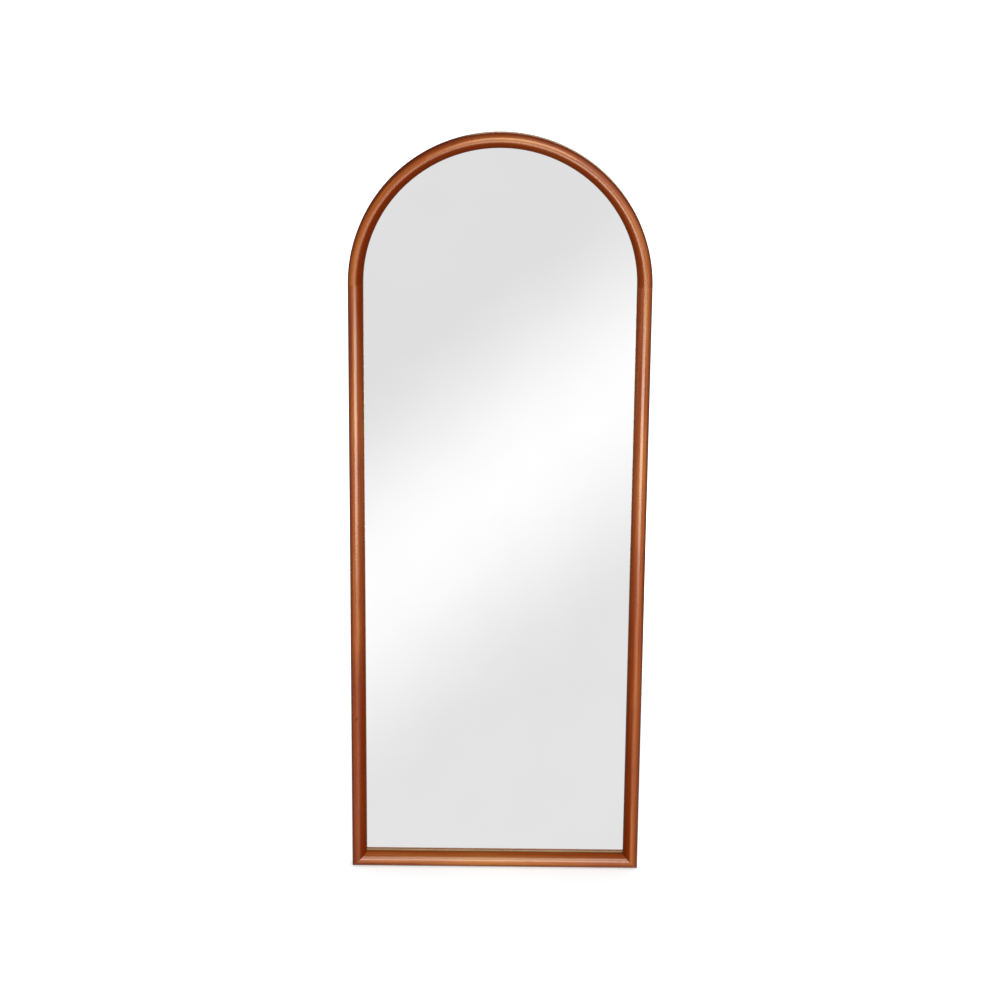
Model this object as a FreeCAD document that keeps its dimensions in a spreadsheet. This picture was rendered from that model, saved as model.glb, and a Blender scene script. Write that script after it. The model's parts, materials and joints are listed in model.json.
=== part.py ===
import FreeCAD, Part
import math
import os
import Sketcher
from FreeCAD import Placement, Rotation, Vector

# Arched wall mirror, in millimetres: X runs right, Y runs back to the wall, Z runs up.
# The origin is the middle of the bottom edge, on the plane of the frame's back.

DRIVING_SIZES = {
    # Outline and moulding of the wooden frame
    "frame_width": 700,
    "frame_height": 1800,
    "face_width": 35,
    "frame_depth": 40,
    "outer_round": 15,
    # Rabbets behind the moulding, and the layers that lie in them
    "glass_rabbet": 10,
    "board_ledge": 9,
    "glass_thickness": 4,
    "glass_clearance": 2,
    "tape_thickness": 1,
    "tape_width": 8,
    "tape_inset": 1,
    "board_thickness": 3,
    "board_clearance": 0.5,
    "board_recess": 3,
    "block_length": 60,
    "block_spacing": 320,
    # Dowels in the arch joints
    "dowel_diameter": 8,
    "dowel_length": 40,
    "dowel_spacing": 15,
    "dowel_setback": 22,
    "dowel_chamfer": 1,
    # Keys and angle nails in the bottom mitres
    "key_side": 18,
    "key_thickness": 4,
    "key_setback": 22,
    "nail_leg": 6,
    "nail_gauge": 0.8,
    "nail_depth": 10,
    "nail_inset": 5,
    "nail_pitch": 6,
    "glue_gap": 0.05,
    "hole_end_room": 1,
    # Screws of the backing board
    "board_screw_diameter": 3,
    "board_screw_length": 12,
    "board_screw_head": 6,
    "board_screw_head_height": 1.8,
    "side_screw_foot_room": 120,
    "side_screw_arch_room": 130,
    "bottom_screw_pitch": 200,
    "arch_screw_spread": 24,
    # Folded straps on the back of the stiles
    "strap_width": 10,
    "strap_gauge": 1.2,
    "strap_length": 38,
    "strap_corner": 3,
    "strap_hole": 4.5,
    "strap_drop": 60,
    "strap_first_hole": 20,
    "strap_hole_pitch": 11,
    # Rings that swing in the straps
    "ring_wire": 3,
    "ring_bend": 2.5,
    "ring_leg": 2.5,
    "ring_side_room": 0.5,
    "ring_running_gap": 0.08,
    "ring_rest_gap": 0.3,
    "ring_edge_room": 1,
    # Screws of the straps, and the cross recess of every screw
    "strap_screw_diameter": 4,
    "strap_screw_length": 20,
    "strap_screw_head": 7,
    "strap_screw_head_height": 2.2,
    "drive_span": 3.6,
    "drive_width": 1,
    "drive_depth": 1.1,
    # Rubber pads against the wall
    "pad_diameter": 14,
    "pad_wall_diameter": 11,
    "pad_height": 7,
    "pad_inset": 8,
    "pad_foot_room": 60,
    "pad_arch_angle": 45,
}

ARCH_PIECES = ("arch_right", "arch_crown", "arch_left")
SIDE_SCREWS = 5
BOTTOM_SCREWS = 3
SIDES = {"left": -1, "right": 1}
SAME_PLACE = 0.01
X_AXIS = Vector(1, 0, 0)
Y_AXIS = Vector(0, 1, 0)

# Places that several pieces share, as expressions on the driving sizes.
# An inset is measured in from the frame's outer edge, a level forward from its back.
HALF_WIDTH = "dims.frame_width / 2"
SPRINGING = "(dims.frame_height - dims.frame_width / 2)"
GLASS_WALL = "(dims.face_width - dims.glass_rabbet)"
BOARD_WALL = "(dims.face_width - dims.glass_rabbet - dims.board_ledge)"
GLASS_INSET = f"({GLASS_WALL} + dims.glass_clearance)"
BOARD_LEVEL = "(dims.board_recess + dims.board_thickness)"
TAPE_LEVEL = f"({BOARD_LEVEL} + dims.tape_thickness)"
GLASS_LEVEL = f"({TAPE_LEVEL} + dims.glass_thickness)"
SCREW_INSET = f"({BOARD_WALL} + dims.board_ledge / 2)"
ARCH_STEP = f"(180 / {len(ARCH_PIECES)})"
RING_RADIUS = "(dims.strap_width / 2 + dims.ring_side_room + dims.ring_bend)"
RING_INSET = f"({RING_RADIUS} + dims.ring_wire / 2 + dims.ring_edge_room)"
RING_DROP = "(dims.ring_bend + dims.ring_leg)"
BORE_RADIUS = "(dims.ring_wire / 2 + dims.ring_running_gap)"
RING_LEVEL = f"({BORE_RADIUS} + dims.strap_gauge)"
STRAP_LEVEL = "(2 * dims.strap_gauge)"
STRAP_HEIGHT = f"({SPRINGING} - dims.strap_drop)"

doc = FreeCAD.newDocument("arched_wall_mirror")
sheet = doc.addObject("Spreadsheet::Sheet", "dims")
for row, (alias, size) in enumerate(DRIVING_SIZES.items(), start=1):
    sheet.set(f"A{row}", alias)
    sheet.set(f"B{row}", str(size))
    sheet.setAlias(f"B{row}", alias)
doc.recompute()


def number(expression):
    """Value of an expression on the driving sizes."""
    value = sheet.evalExpression(expression)
    return getattr(value, "Value", value)


def bind(item, **expressions):
    """Tie properties of an object to the driving sizes."""
    for name, expression in expressions.items():
        item.setExpression(name, expression)
    return item


def place(item, x="0", y="0", z="0", axis=Y_AXIS, angle="0"):
    """Tie an object's place, and its turn about one axis, to the driving sizes."""
    item.Placement = Placement(Vector(), Rotation(axis, 0))
    for name, expression in (("x", x), ("y", y), ("z", z)):
        item.setExpression(f"Placement.Base.{name}", expression)
    item.setExpression("Placement.Rotation.Angle", angle)
    return item


def primitive(kind, name, **expressions):
    """Part primitive whose sizes follow the driving sizes."""
    return bind(doc.addObject(f"Part::{kind}", name), **expressions)


def group(name, items):
    """One node that holds several separate solids."""
    compound = doc.addObject("Part::Compound", name)
    compound.Links = items
    return compound


def copy_of(master, name):
    """Further copy of a piece, with a place of its own."""
    link = doc.addObject("App::Link", name)
    link.LinkedObject = master
    return link


def mirror_image(source, name):
    """Left-hand piece from the right-hand one."""
    image = doc.addObject("Part::Mirroring", name)
    image.Source = source
    image.Normal = X_AXIS
    return image


def cut(name, base, tool):
    """Piece with another shape taken out of it."""
    result = doc.addObject("Part::Cut", name)
    result.Base = base
    result.Tool = tool
    return result


def origin_feature(body, role):
    """Origin plane or axis of a body."""
    return next(item for item in body.Origin.OriginFeatures if item.Role == role)


def new_sketch(body, name, plane):
    """Empty sketch on one of the body's own origin planes."""
    sketch = body.newObject("Sketcher::SketchObject", name)
    sketch.AttachmentSupport = (origin_feature(body, plane), [""])
    sketch.MapMode = "FlatFace"
    return sketch


def pin(sketch, edge, point, **distances):
    """Hold a point of an edge at distances from the sketch's origin."""
    for kind, expression in distances.items():
        value = float(number(expression))
        index = sketch.addConstraint(Sketcher.Constraint(kind, -1, 1, edge, point, value))
        sketch.setExpression(f"Constraints[{index}]", expression)


def arc_between(start, end, centre):
    """Anticlockwise arc from one point to another."""
    first = math.atan2(start.y - centre.y, start.x - centre.x)
    last = math.atan2(end.y - centre.y, end.x - centre.x)
    if last <= first:
        last += 2 * math.pi
    circle = Part.Circle(centre, Vector(0, 0, 1), start.distanceToPoint(centre))
    return Part.ArcOfCircle(circle, first, last)


def draw_loop(sketch, corners):
    """Closed outline through corners (x, y), anticlockwise.

    A corner with a third entry, the centre, starts an arc to the next corner.
    """
    base = sketch.GeometryCount
    points = [Vector(number(corner[0]), number(corner[1]), 0) for corner in corners]
    for index, corner in enumerate(corners):
        start, end = points[index], points[(index + 1) % len(points)]
        if len(corner) == 3:
            centre = Vector(number(corner[2][0]), number(corner[2][1]), 0)
            sketch.addGeometry(arc_between(start, end, centre))
        else:
            sketch.addGeometry(Part.LineSegment(start, end))
    for index, corner in enumerate(corners):
        following = base + (index + 1) % len(corners)
        sketch.addConstraint(Sketcher.Constraint("Coincident", base + index, 2, following, 1))
        pin(sketch, base + index, 1, DistanceX=corner[0], DistanceY=corner[1])
        if len(corner) == 3:
            pin(sketch, base + index, 3, DistanceY=corner[2][1])
    return sketch


def draw_circle(sketch, x, y, radius):
    """Circle whose centre and radius follow the driving sizes."""
    centre = Vector(number(x), number(y), 0)
    edge = sketch.addGeometry(Part.Circle(centre, Vector(0, 0, 1), number(radius)))
    pin(sketch, edge, 3, DistanceX=x, DistanceY=y)
    index = sketch.addConstraint(Sketcher.Constraint("Radius", edge, float(number(radius))))
    sketch.setExpression(f"Constraints[{index}]", radius)
    return sketch


def feature(body, kind, name, sketch, **expressions):
    """Pad, pocket or revolution of a sketch, to one side of it."""
    item = body.newObject(f"PartDesign::{kind}", name)
    item.Profile = sketch
    return bind(item, **expressions)


def cut_through(body, name, sketch):
    """Pocket of a sketch right through the body, both ways."""
    item = feature(body, "Pocket", name, sketch)
    item.Type = "ThroughAll"
    item.SideType = "Symmetric"
    return item


def draw_moulding(sketch, edge):
    """Section of the frame: rounded front, reveal to the glass and two rabbets at the back."""
    inner = f"{edge} - dims.face_width"
    crest = f"{edge} - dims.outer_round"
    outer_centre = "-(dims.frame_depth - dims.outer_round)"
    inner_centre = "-(dims.frame_depth - (dims.face_width - dims.outer_round))"
    return draw_loop(sketch, [
        (edge, "0"),
        (f"{edge} - {BOARD_WALL}", "0"),
        (f"{edge} - {BOARD_WALL}", f"-{BOARD_LEVEL}"),
        (f"{edge} - {GLASS_WALL}", f"-{BOARD_LEVEL}"),
        (f"{edge} - {GLASS_WALL}", f"-{GLASS_LEVEL}"),
        (inner, f"-{GLASS_LEVEL}"),
        (inner, inner_centre, (crest, inner_centre)),
        (crest, "-dims.frame_depth", (crest, outer_centre)),
        (edge, outer_centre),
    ])


def draw_arched(sketch, inset):
    """Outline of the mirror at one inset: flat foot, straight sides, semicircular top."""
    side = f"({HALF_WIDTH} - {inset})"
    return draw_loop(sketch, [
        (f"-{side}", inset),
        (side, inset),
        (side, SPRINGING, ("0", SPRINGING)),
        (f"-{side}", SPRINGING),
    ])


def sheet_piece(name, insets, back_level, thickness):
    """Flat sheet of the mirror's outline, with an opening where a second inset is given."""
    body = doc.addObject("PartDesign::Body", name)
    sketch = new_sketch(body, f"{name}_outline", "XZ_Plane")
    for inset in insets:
        draw_arched(sketch, inset)
    feature(body, "Pad", f"{name}_pad", sketch, Length=thickness)
    return place(body, y=f"-{back_level}")


def stile_blank():
    """Right stile before its holes: the moulding, mitred at the foot."""
    body = doc.addObject("PartDesign::Body", "stile_blank")
    section = draw_moulding(new_sketch(body, "stile_section", "XY_Plane"), HALF_WIDTH)
    feature(body, "Pad", "stile_pad", section, Length=SPRINGING)
    inner = f"{HALF_WIDTH} - dims.face_width"
    mitre = draw_loop(new_sketch(body, "stile_mitre", "XZ_Plane"),
                      [(inner, "0"), (HALF_WIDTH, "0"), (inner, "dims.face_width")])
    cut_through(body, "stile_mitre_cut", mitre)
    return body


def rail_blank():
    """Bottom rail before its holes: the moulding laid along X, mitred at both ends."""
    body = doc.addObject("PartDesign::Body", "rail_blank")
    section = draw_moulding(new_sketch(body, "rail_section", "XY_Plane"), "0")
    feature(body, "Pad", "rail_pad", section, Length="dims.frame_width").SideType = "Symmetric"
    mitres = new_sketch(body, "rail_mitres", "XZ_Plane")
    inner = f"{HALF_WIDTH} - dims.face_width"
    draw_loop(mitres, [("-dims.face_width", inner), ("0", HALF_WIDTH), ("-dims.face_width", HALF_WIDTH)])
    draw_loop(mitres, [("-dims.face_width", f"-({HALF_WIDTH})"), ("0", f"-({HALF_WIDTH})"),
                       ("-dims.face_width", f"-({inner})")])
    cut_through(body, "rail_mitre_cuts", mitres)
    return place(body, angle="90")


def arch_blank(name, middle_angle):
    """Segment of the arch before its holes: the moulding turned about the arch's centre."""
    body = doc.addObject("PartDesign::Body", f"{name}_blank")
    section = draw_moulding(new_sketch(body, f"{name}_section", "XY_Plane"), HALF_WIDTH)
    turned = feature(body, "Revolution", f"{name}_turned", section, Angle=ARCH_STEP)
    turned.ReferenceAxis = (origin_feature(body, "Y_Axis"), [""])
    turned.Midplane = True
    return place(body, z=SPRINGING, angle=f"-({middle_angle})")


def arch_joint_cylinders(prefix, radius, length):
    """Two cylinders along the frame at each joint of the arch, centred on the joint."""
    cylinders = []
    for joint in range(len(ARCH_PIECES) + 1):
        for row, sign in enumerate((-1, 1)):
            turn = f"({joint} * {ARCH_STEP})"
            ring = f"({HALF_WIDTH} - dims.face_width / 2 + {sign} * dims.dowel_spacing / 2)"
            item = primitive("Cylinder", f"{prefix}_{joint}_{row}", Radius=radius, Height=length)
            place(item,
                  x=f"{ring} * cos({turn}) + {length} / 2 * sin({turn})",
                  y="-dims.dowel_setback",
                  z=f"{SPRINGING} + {ring} * sin({turn}) - {length} / 2 * cos({turn})",
                  angle=f"-{turn}")
            cylinders.append(item)
    return cylinders


def chamfered(item):
    """Dowel with both of its rims chamfered."""
    doc.recompute()
    result = doc.addObject("Part::Chamfer", f"{item.Name}_chamfered")
    result.Base = item
    rims = [index for index, edge in enumerate(item.Shape.Edges, start=1)
            if isinstance(edge.Curve, Part.Circle)]
    size = number("dims.dowel_chamfer")
    result.Edges = [(index, size, size) for index in rims]
    return result


def mitre_blocks(prefix, side, thickness):
    """Square block set on edge across each bottom mitre."""
    blocks = []
    for hand, sign in SIDES.items():
        block = primitive("Box", f"{hand}_{prefix}", Length=side, Width=thickness, Height=side)
        place(block,
              x=f"{sign} * ({HALF_WIDTH} - dims.face_width / 2) - {side} / sqrt(2)",
              y=f"-dims.key_setback - {thickness} / 2",
              z="dims.face_width / 2",
              angle="45")
        blocks.append(block)
    return blocks


def right_corner_nails():
    """Angle nails driven from the back across the right mitre."""
    nails = []
    for index in range(2):
        body = doc.addObject("PartDesign::Body", f"corner_nail_{index}")
        section = draw_loop(new_sketch(body, f"nail_section_{index}", "XZ_Plane"), [
            ("0", "0"),
            ("0", "dims.nail_leg"),
            ("-dims.nail_gauge", "dims.nail_leg"),
            ("-dims.nail_gauge", "dims.nail_gauge"),
            ("-dims.nail_leg", "dims.nail_gauge"),
            ("-dims.nail_leg", "0"),
        ])
        feature(body, "Pad", f"nail_pad_{index}", section, Length="dims.nail_depth")
        inset = f"(dims.nail_inset + {index} * dims.nail_pitch)"
        nails.append(place(body, x=f"{HALF_WIDTH} - {inset}", z=inset))
    return group("right_corner_nails", nails)


def screw_master(name):
    """Pan-head wood screw with a cross recess: point down, underside of the head at zero."""
    body = doc.addObject("PartDesign::Body", name)
    radius = f"dims.{name}_diameter / 2"
    head = f"dims.{name}_head / 2"
    top = f"dims.{name}_head_height"
    length = f"dims.{name}_length"
    section = draw_loop(new_sketch(body, f"{name}_section", "XZ_Plane"), [
        ("0", f"-{length}"),
        (radius, f"-({length} - dims.{name}_diameter)"),
        (radius, "0"),
        (head, "0"),
        (head, f"{top} / 2"),
        (f"{head} - {top} / 2", top),
        ("0", top),
    ])
    turned = feature(body, "Revolution", f"{name}_turned", section)
    turned.ReferenceAxis = (section, ["V_Axis"])
    turned.Angle = 360
    drive = new_sketch(body, f"{name}_drive", "XY_Plane")
    bind(drive, **{"AttachmentOffset.Base.z": top})
    span, width = "dims.drive_span / 2", "dims.drive_width / 2"
    draw_loop(drive, [
        (span, f"-{width}"), (span, width), (width, width), (width, span),
        (f"-{width}", span), (f"-{width}", width), (f"-{span}", width), (f"-{span}", f"-{width}"),
        (f"-{width}", f"-{width}"), (f"-{width}", f"-{span}"), (width, f"-{span}"), (width, f"-{width}"),
    ])
    feature(body, "Pocket", f"{name}_recess", drive, Length="dims.drive_depth")
    return body


def screw_bore_master(name):
    """Bore that one screw fills, from clear of its head down past its point."""
    depth = f"(dims.{name}_length + dims.hole_end_room)"
    bore = primitive("Cylinder", f"{name}_bore",
                     Radius=f"dims.{name}_diameter / 2 + dims.glue_gap",
                     Height=f"{depth} + dims.{name}_head_height")
    place(bore, z=f"-{depth}")
    return group(f"{name}_bore_master", [bore])


def board_screw_places():
    """Expressions (x, z) for each screw of the backing board."""
    side = f"({HALF_WIDTH} - {SCREW_INSET})"
    run = f"({SPRINGING} - dims.side_screw_foot_room - dims.side_screw_arch_room)"
    places = []
    for sign in SIDES.values():
        for index in range(SIDE_SCREWS):
            height = f"dims.side_screw_foot_room + {index} * {run} / {SIDE_SCREWS - 1}"
            places.append((f"{sign} * {side}", height))
    for index in range(BOTTOM_SCREWS):
        places.append((f"{index - (BOTTOM_SCREWS - 1) / 2} * dims.bottom_screw_pitch", SCREW_INSET))
    for index in range(len(ARCH_PIECES)):
        for sign in SIDES.values():
            turn = f"({index + 0.5} * {ARCH_STEP} + {sign} * dims.arch_screw_spread / 2)"
            places.append((f"{side} * cos({turn})", f"{SPRINGING} + {side} * sin({turn})"))
    return places


def strap_screw_places():
    """Expressions (x, z) for each screw of the two hanger straps."""
    return [(f"{sign} * ({HALF_WIDTH} - {RING_INSET})",
             f"{STRAP_HEIGHT} - dims.strap_first_hole - {index} * dims.strap_hole_pitch")
            for sign in SIDES.values() for index in range(2)]


def set_screws(master, prefix, places, level):
    """Copies of a screw or of its bore, pointing into the frame from one level."""
    return [place(copy_of(master, f"{prefix}_{index}"), x=x, y=level, z=z, axis=X_AXIS, angle="-90")
            for index, (x, z) in enumerate(places)]


def hanger_strap(hand, sign):
    """Strip folded round the ring's bar, its two leaves lying together on the stile's back."""
    body = doc.addObject("PartDesign::Body", f"{hand}_hanger_strap")
    fold = f"-sqrt({RING_LEVEL}^2 - ({RING_LEVEL} - {STRAP_LEVEL})^2)"
    section = draw_loop(new_sketch(body, f"{hand}_strap_section", "YZ_Plane"), [
        ("0", "-dims.strap_length"),
        (STRAP_LEVEL, "-dims.strap_length"),
        (STRAP_LEVEL, fold, (RING_LEVEL, "0")),
        ("0", "0"),
    ])
    draw_circle(section, RING_LEVEL, "0", BORE_RADIUS)
    feature(body, "Pad", f"{hand}_strap_pad", section, Length="dims.strap_width").SideType = "Symmetric"
    holes = new_sketch(body, f"{hand}_strap_holes", "XZ_Plane")
    for index in range(2):
        draw_circle(holes, "0", f"-dims.strap_first_hole - {index} * dims.strap_hole_pitch",
                    "dims.strap_hole / 2")
    drilled = cut_through(body, f"{hand}_strap_drilled", holes)
    doc.recompute()
    foot = -number("dims.strap_length")
    corners = [f"Edge{index}" for index, edge in enumerate(drilled.Shape.Edges, start=1)
               if abs(edge.BoundBox.ZMax - foot) < SAME_PLACE and edge.BoundBox.XLength < SAME_PLACE]
    rounded = body.newObject("PartDesign::Fillet", f"{hand}_strap_rounded")
    rounded.Base = (drilled, corners)
    bind(rounded, Radius="dims.strap_corner")
    return place(body, x=f"{sign} * ({HALF_WIDTH} - {RING_INSET})", z=STRAP_HEIGHT)


def hanger_ring(hand, sign):
    """Wire D-ring hanging from its straight bar, resting just clear of the strap."""
    body = doc.addObject("PartDesign::Body", f"{hand}_hanger_ring")
    bar_end = f"({RING_RADIUS} - dims.ring_bend)"
    path = draw_loop(new_sketch(body, f"{hand}_ring_path", "XZ_Plane"), [
        (bar_end, "0"),
        (f"-{bar_end}", "0", (f"-{bar_end}", "-dims.ring_bend")),
        (f"-{RING_RADIUS}", "-dims.ring_bend"),
        (f"-{RING_RADIUS}", f"-{RING_DROP}", ("0", f"-{RING_DROP}")),
        (RING_RADIUS, f"-{RING_DROP}"),
        (RING_RADIUS, "-dims.ring_bend", (bar_end, "-dims.ring_bend")),
    ])
    wire = draw_circle(new_sketch(body, f"{hand}_ring_wire", "YZ_Plane"), "0", "0", "dims.ring_wire / 2")
    bent = body.newObject("PartDesign::AdditivePipe", f"{hand}_ring_bent")
    bent.Profile = wire
    bent.Spine = path
    crossing = f"({RING_DROP} + sqrt({RING_RADIUS}^2 - (dims.strap_width / 2)^2))"
    lift = f"({STRAP_LEVEL} + dims.ring_rest_gap + dims.ring_wire / 2 - {RING_LEVEL})"
    return place(body, x=f"{sign} * ({HALF_WIDTH} - {RING_INSET})", y=RING_LEVEL, z=STRAP_HEIGHT,
                 axis=X_AXIS, angle=f"asin({lift} / {crossing})")


def wall_pads():
    """Tapered rubber pads on the stiles' feet and on the shoulders of the arch."""
    ring = f"({HALF_WIDTH} - dims.pad_inset)"
    places = [(ring, "dims.pad_foot_room"),
              (f"{ring} * cos(dims.pad_arch_angle)", f"{SPRINGING} + {ring} * sin(dims.pad_arch_angle)")]
    pads = []
    for hand, sign in SIDES.items():
        for index, (x, z) in enumerate(places):
            pad = primitive("Cone", f"{hand}_pad_{index}", Radius1="dims.pad_diameter / 2",
                            Radius2="dims.pad_wall_diameter / 2", Height="dims.pad_height")
            pads.append(place(pad, x=f"{sign} * {x}", z=z, axis=X_AXIS, angle="-90"))
    return group("wall_pads", pads)


def setting_blocks():
    """Blocks between the foot of the glass and the rabbet of the bottom rail."""
    blocks = []
    for hand, sign in SIDES.items():
        block = primitive("Box", f"{hand}_setting_block", Length="dims.block_length",
                          Width="dims.glass_thickness", Height="dims.glass_clearance")
        blocks.append(place(block, x=f"{sign} * dims.block_spacing / 2 - dims.block_length / 2",
                            y=f"-{GLASS_LEVEL}", z=GLASS_WALL))
    return group("setting_blocks", blocks)


# Joinery and fasteners
arch_dowels = group("arch_dowels", [chamfered(item) for item in arch_joint_cylinders(
    "dowel", "dims.dowel_diameter / 2", "dims.dowel_length")])
mitre_keys = group("mitre_keys", mitre_blocks("mitre_key", "dims.key_side", "dims.key_thickness"))
right_nails = right_corner_nails()
corner_nails = group("corner_nails", [right_nails, mirror_image(right_nails, "left_corner_nails")])
board_screw = screw_master("board_screw")
strap_screw = screw_master("strap_screw")
board_screws = group("board_screws", set_screws(
    board_screw, "board_screw", board_screw_places(), "-dims.board_recess"))
hanger_screws = group("hanger_screws", set_screws(
    strap_screw, "strap_screw", strap_screw_places(), STRAP_LEVEL))

# Everything that is cut or bored into the wood
board_bores = group("board_screw_bores", set_screws(
    screw_bore_master("board_screw"), "board_bore", board_screw_places(), "-dims.board_recess"))
strap_bores = group("strap_screw_bores", set_screws(
    screw_bore_master("strap_screw"), "strap_bore", strap_screw_places(), STRAP_LEVEL))
dowel_bores = group("dowel_bores", arch_joint_cylinders(
    "dowel_bore", "(dims.dowel_diameter / 2 + dims.glue_gap)",
    "(dims.dowel_length + 2 * dims.hole_end_room)"))
key_slots = group("key_slots", mitre_blocks(
    "key_slot", "(dims.key_side + 2 * dims.glue_gap)", "(dims.key_thickness + 2 * dims.glue_gap)"))
joinery = group("joinery_cuts", [board_bores, strap_bores, dowel_bores, key_slots, corner_nails])

# Wooden frame
right_stile = cut("right_stile", stile_blank(), joinery)
left_stile = mirror_image(right_stile, "left_stile")
bottom_rail = cut("bottom_rail", rail_blank(), joinery)
frame_pieces = [left_stile, right_stile, bottom_rail]
for index, piece_name in enumerate(ARCH_PIECES):
    blank = arch_blank(piece_name, f"{index + 0.5} * {ARCH_STEP}")
    frame_pieces.append(cut(piece_name, blank, joinery))

# Glass and what lies behind it
mirror_glass = sheet_piece("mirror_glass", [GLASS_INSET], TAPE_LEVEL, "dims.glass_thickness")
tape_edge = f"({GLASS_INSET} + dims.tape_inset)"
cushion_tape = sheet_piece("cushion_tape", [tape_edge, f"({tape_edge} + dims.tape_width)"],
                           BOARD_LEVEL, "dims.tape_thickness")
board_blank = sheet_piece("board_blank", [f"({BOARD_WALL} + dims.board_clearance)"],
                          "dims.board_recess", "dims.board_thickness")
backing_board = cut("backing_board", board_blank, board_bores)

# Hangers on the back
hangers = [make(hand, sign) for hand, sign in SIDES.items() for make in (hanger_strap, hanger_ring)]

pieces = frame_pieces + hangers + [
    arch_dowels, mitre_keys, corner_nails, mirror_glass, setting_blocks(), cushion_tape,
    backing_board, board_screws, hanger_screws, wall_pads()]
doc.recompute()

faults = [item.Name for item in doc.Objects if {"Invalid", "Error"} & set(item.State)]
faults += [piece.Label for piece in pieces if piece.Shape.isNull() or not piece.Shape.isValid()]
if faults:
    raise SystemExit("These objects failed: " + ", ".join(faults))

os.makedirs("parts", exist_ok=True)
for piece in pieces:
    piece.Shape.exportStep(f"parts/{piece.Label}.step")
    print(f"{piece.Label}: {len(piece.Shape.Solids)} solids, {piece.Shape.Volume / 1000:.2f} cm3")
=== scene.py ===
"""Looks of an arched wall mirror, built around its packed construction.

Metres, +Z up, +Y back to the wall. The origin is the middle of the bottom edge, on the plane of the frame's
back. Each sub-assembly is a class that builds its meshes and dresses them, and each finish is a frozen
dataclass.
"""

import json
import logging
import math
from dataclasses import dataclass, field
from enum import Enum
from typing import Any, Mapping, NamedTuple, Sequence

import bmesh
import bpy
from mathutils import Matrix, Vector


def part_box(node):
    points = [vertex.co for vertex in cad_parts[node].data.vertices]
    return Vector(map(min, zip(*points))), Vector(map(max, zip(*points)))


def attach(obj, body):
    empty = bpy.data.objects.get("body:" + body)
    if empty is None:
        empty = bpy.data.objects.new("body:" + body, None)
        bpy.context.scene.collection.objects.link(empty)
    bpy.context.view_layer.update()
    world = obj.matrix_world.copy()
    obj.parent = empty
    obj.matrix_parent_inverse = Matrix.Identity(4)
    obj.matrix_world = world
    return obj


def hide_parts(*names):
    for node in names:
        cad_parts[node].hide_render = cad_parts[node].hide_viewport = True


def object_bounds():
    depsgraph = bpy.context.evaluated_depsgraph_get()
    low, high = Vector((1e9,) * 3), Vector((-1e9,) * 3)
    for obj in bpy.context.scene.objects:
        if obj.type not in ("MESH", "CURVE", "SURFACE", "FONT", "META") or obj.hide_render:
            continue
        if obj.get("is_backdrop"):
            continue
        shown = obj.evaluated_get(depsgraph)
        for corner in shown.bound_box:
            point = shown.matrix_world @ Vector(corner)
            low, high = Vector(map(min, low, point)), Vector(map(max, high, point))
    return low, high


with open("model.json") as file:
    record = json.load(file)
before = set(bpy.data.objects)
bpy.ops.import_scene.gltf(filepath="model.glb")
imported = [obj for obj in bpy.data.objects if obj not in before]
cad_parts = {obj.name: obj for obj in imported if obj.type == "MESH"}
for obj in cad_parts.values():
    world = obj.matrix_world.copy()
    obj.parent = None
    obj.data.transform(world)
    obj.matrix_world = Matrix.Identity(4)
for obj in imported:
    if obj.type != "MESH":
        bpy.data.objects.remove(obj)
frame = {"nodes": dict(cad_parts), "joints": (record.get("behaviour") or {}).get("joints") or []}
cad_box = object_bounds()

LOG = logging.getLogger("arched_mirror")
MM = 0.001
SAME_POINT = 1e-6  # points closer than this, in metres, are one
# Attributes of the wooden pieces
GRAIN = "grain"  # along the length, inset and level, in metres
STAIN_AND_SHADE = "stain"  # how much lighter or darker the tone is: how each member took the stain, and partly painted shade towards the stiles' feet
SHADE_AND_RUB = "pool"  # how deep the painted shade towards the glass is and how far the gloss is rubbed there, from 0 to 1
FORWARD = Vector((0.0, -1.0, 0.0))  # from the wall into the room
UP = Vector((0.0, 0.0, 1.0))
ACROSS = Vector((1.0, 0.0, 0.0))

Colour = tuple[float, float, float, float]
Range = tuple[float, float]
Triple = tuple[float, float, float]
Box = tuple[Vector, Vector]
Tree = bpy.types.NodeTree
Node = bpy.types.Node
Socket = bpy.types.NodeSocket


class Body(Enum):
    """Bodies of the frame that pieces ride on."""

    FRAME = "frame"
    LEFT_RING = "left_ring"
    RIGHT_RING = "right_ring"


class Slot(Enum):
    """Material slots of the record that the pieces' finishes belong to."""

    WOOD = "stained_wood"
    GLASS = "silvered_glass"
    FOAM = "foam"
    STEEL = "zinc_steel"
    PAD = "pad_rubber"


class Side(Enum):
    """Left and right as seen from the room, each with the body of its ring."""

    LEFT = Body.LEFT_RING
    RIGHT = Body.RIGHT_RING


class Corner(NamedTuple):
    """A corner of an outline and the radius that rounds it, in metres."""

    x: float
    y: float
    radius: float = 0.0


# Helpers for colours, nodes and meshes


def linear(code: str) -> Colour:
    """Turns an sRGB hex value to a linear colour.

    Args:
        code: six hex digits after a hash sign.

    Returns:
        Linear red, green and blue, and an alpha of 1.
    """
    parts = [int(code[i : i + 2], 16) / 255 for i in (1, 3, 5)]
    curved = [c / 12.92 if c <= 0.04045 else ((c + 0.055) / 1.055) ** 2.4 for c in parts]
    return (curved[0], curved[1], curved[2], 1.0)


def per_metre(*sizes_mm: float) -> tuple[float, ...]:
    """Pattern scale per metre for features of these sizes in millimetres."""
    return tuple(1.0 / (size * MM) for size in sizes_mm)


def bulged(share: float, power: float) -> float:
    """A sine or cosine raised to a power, with its sign kept."""
    return math.copysign(abs(share) ** power, share)


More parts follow.
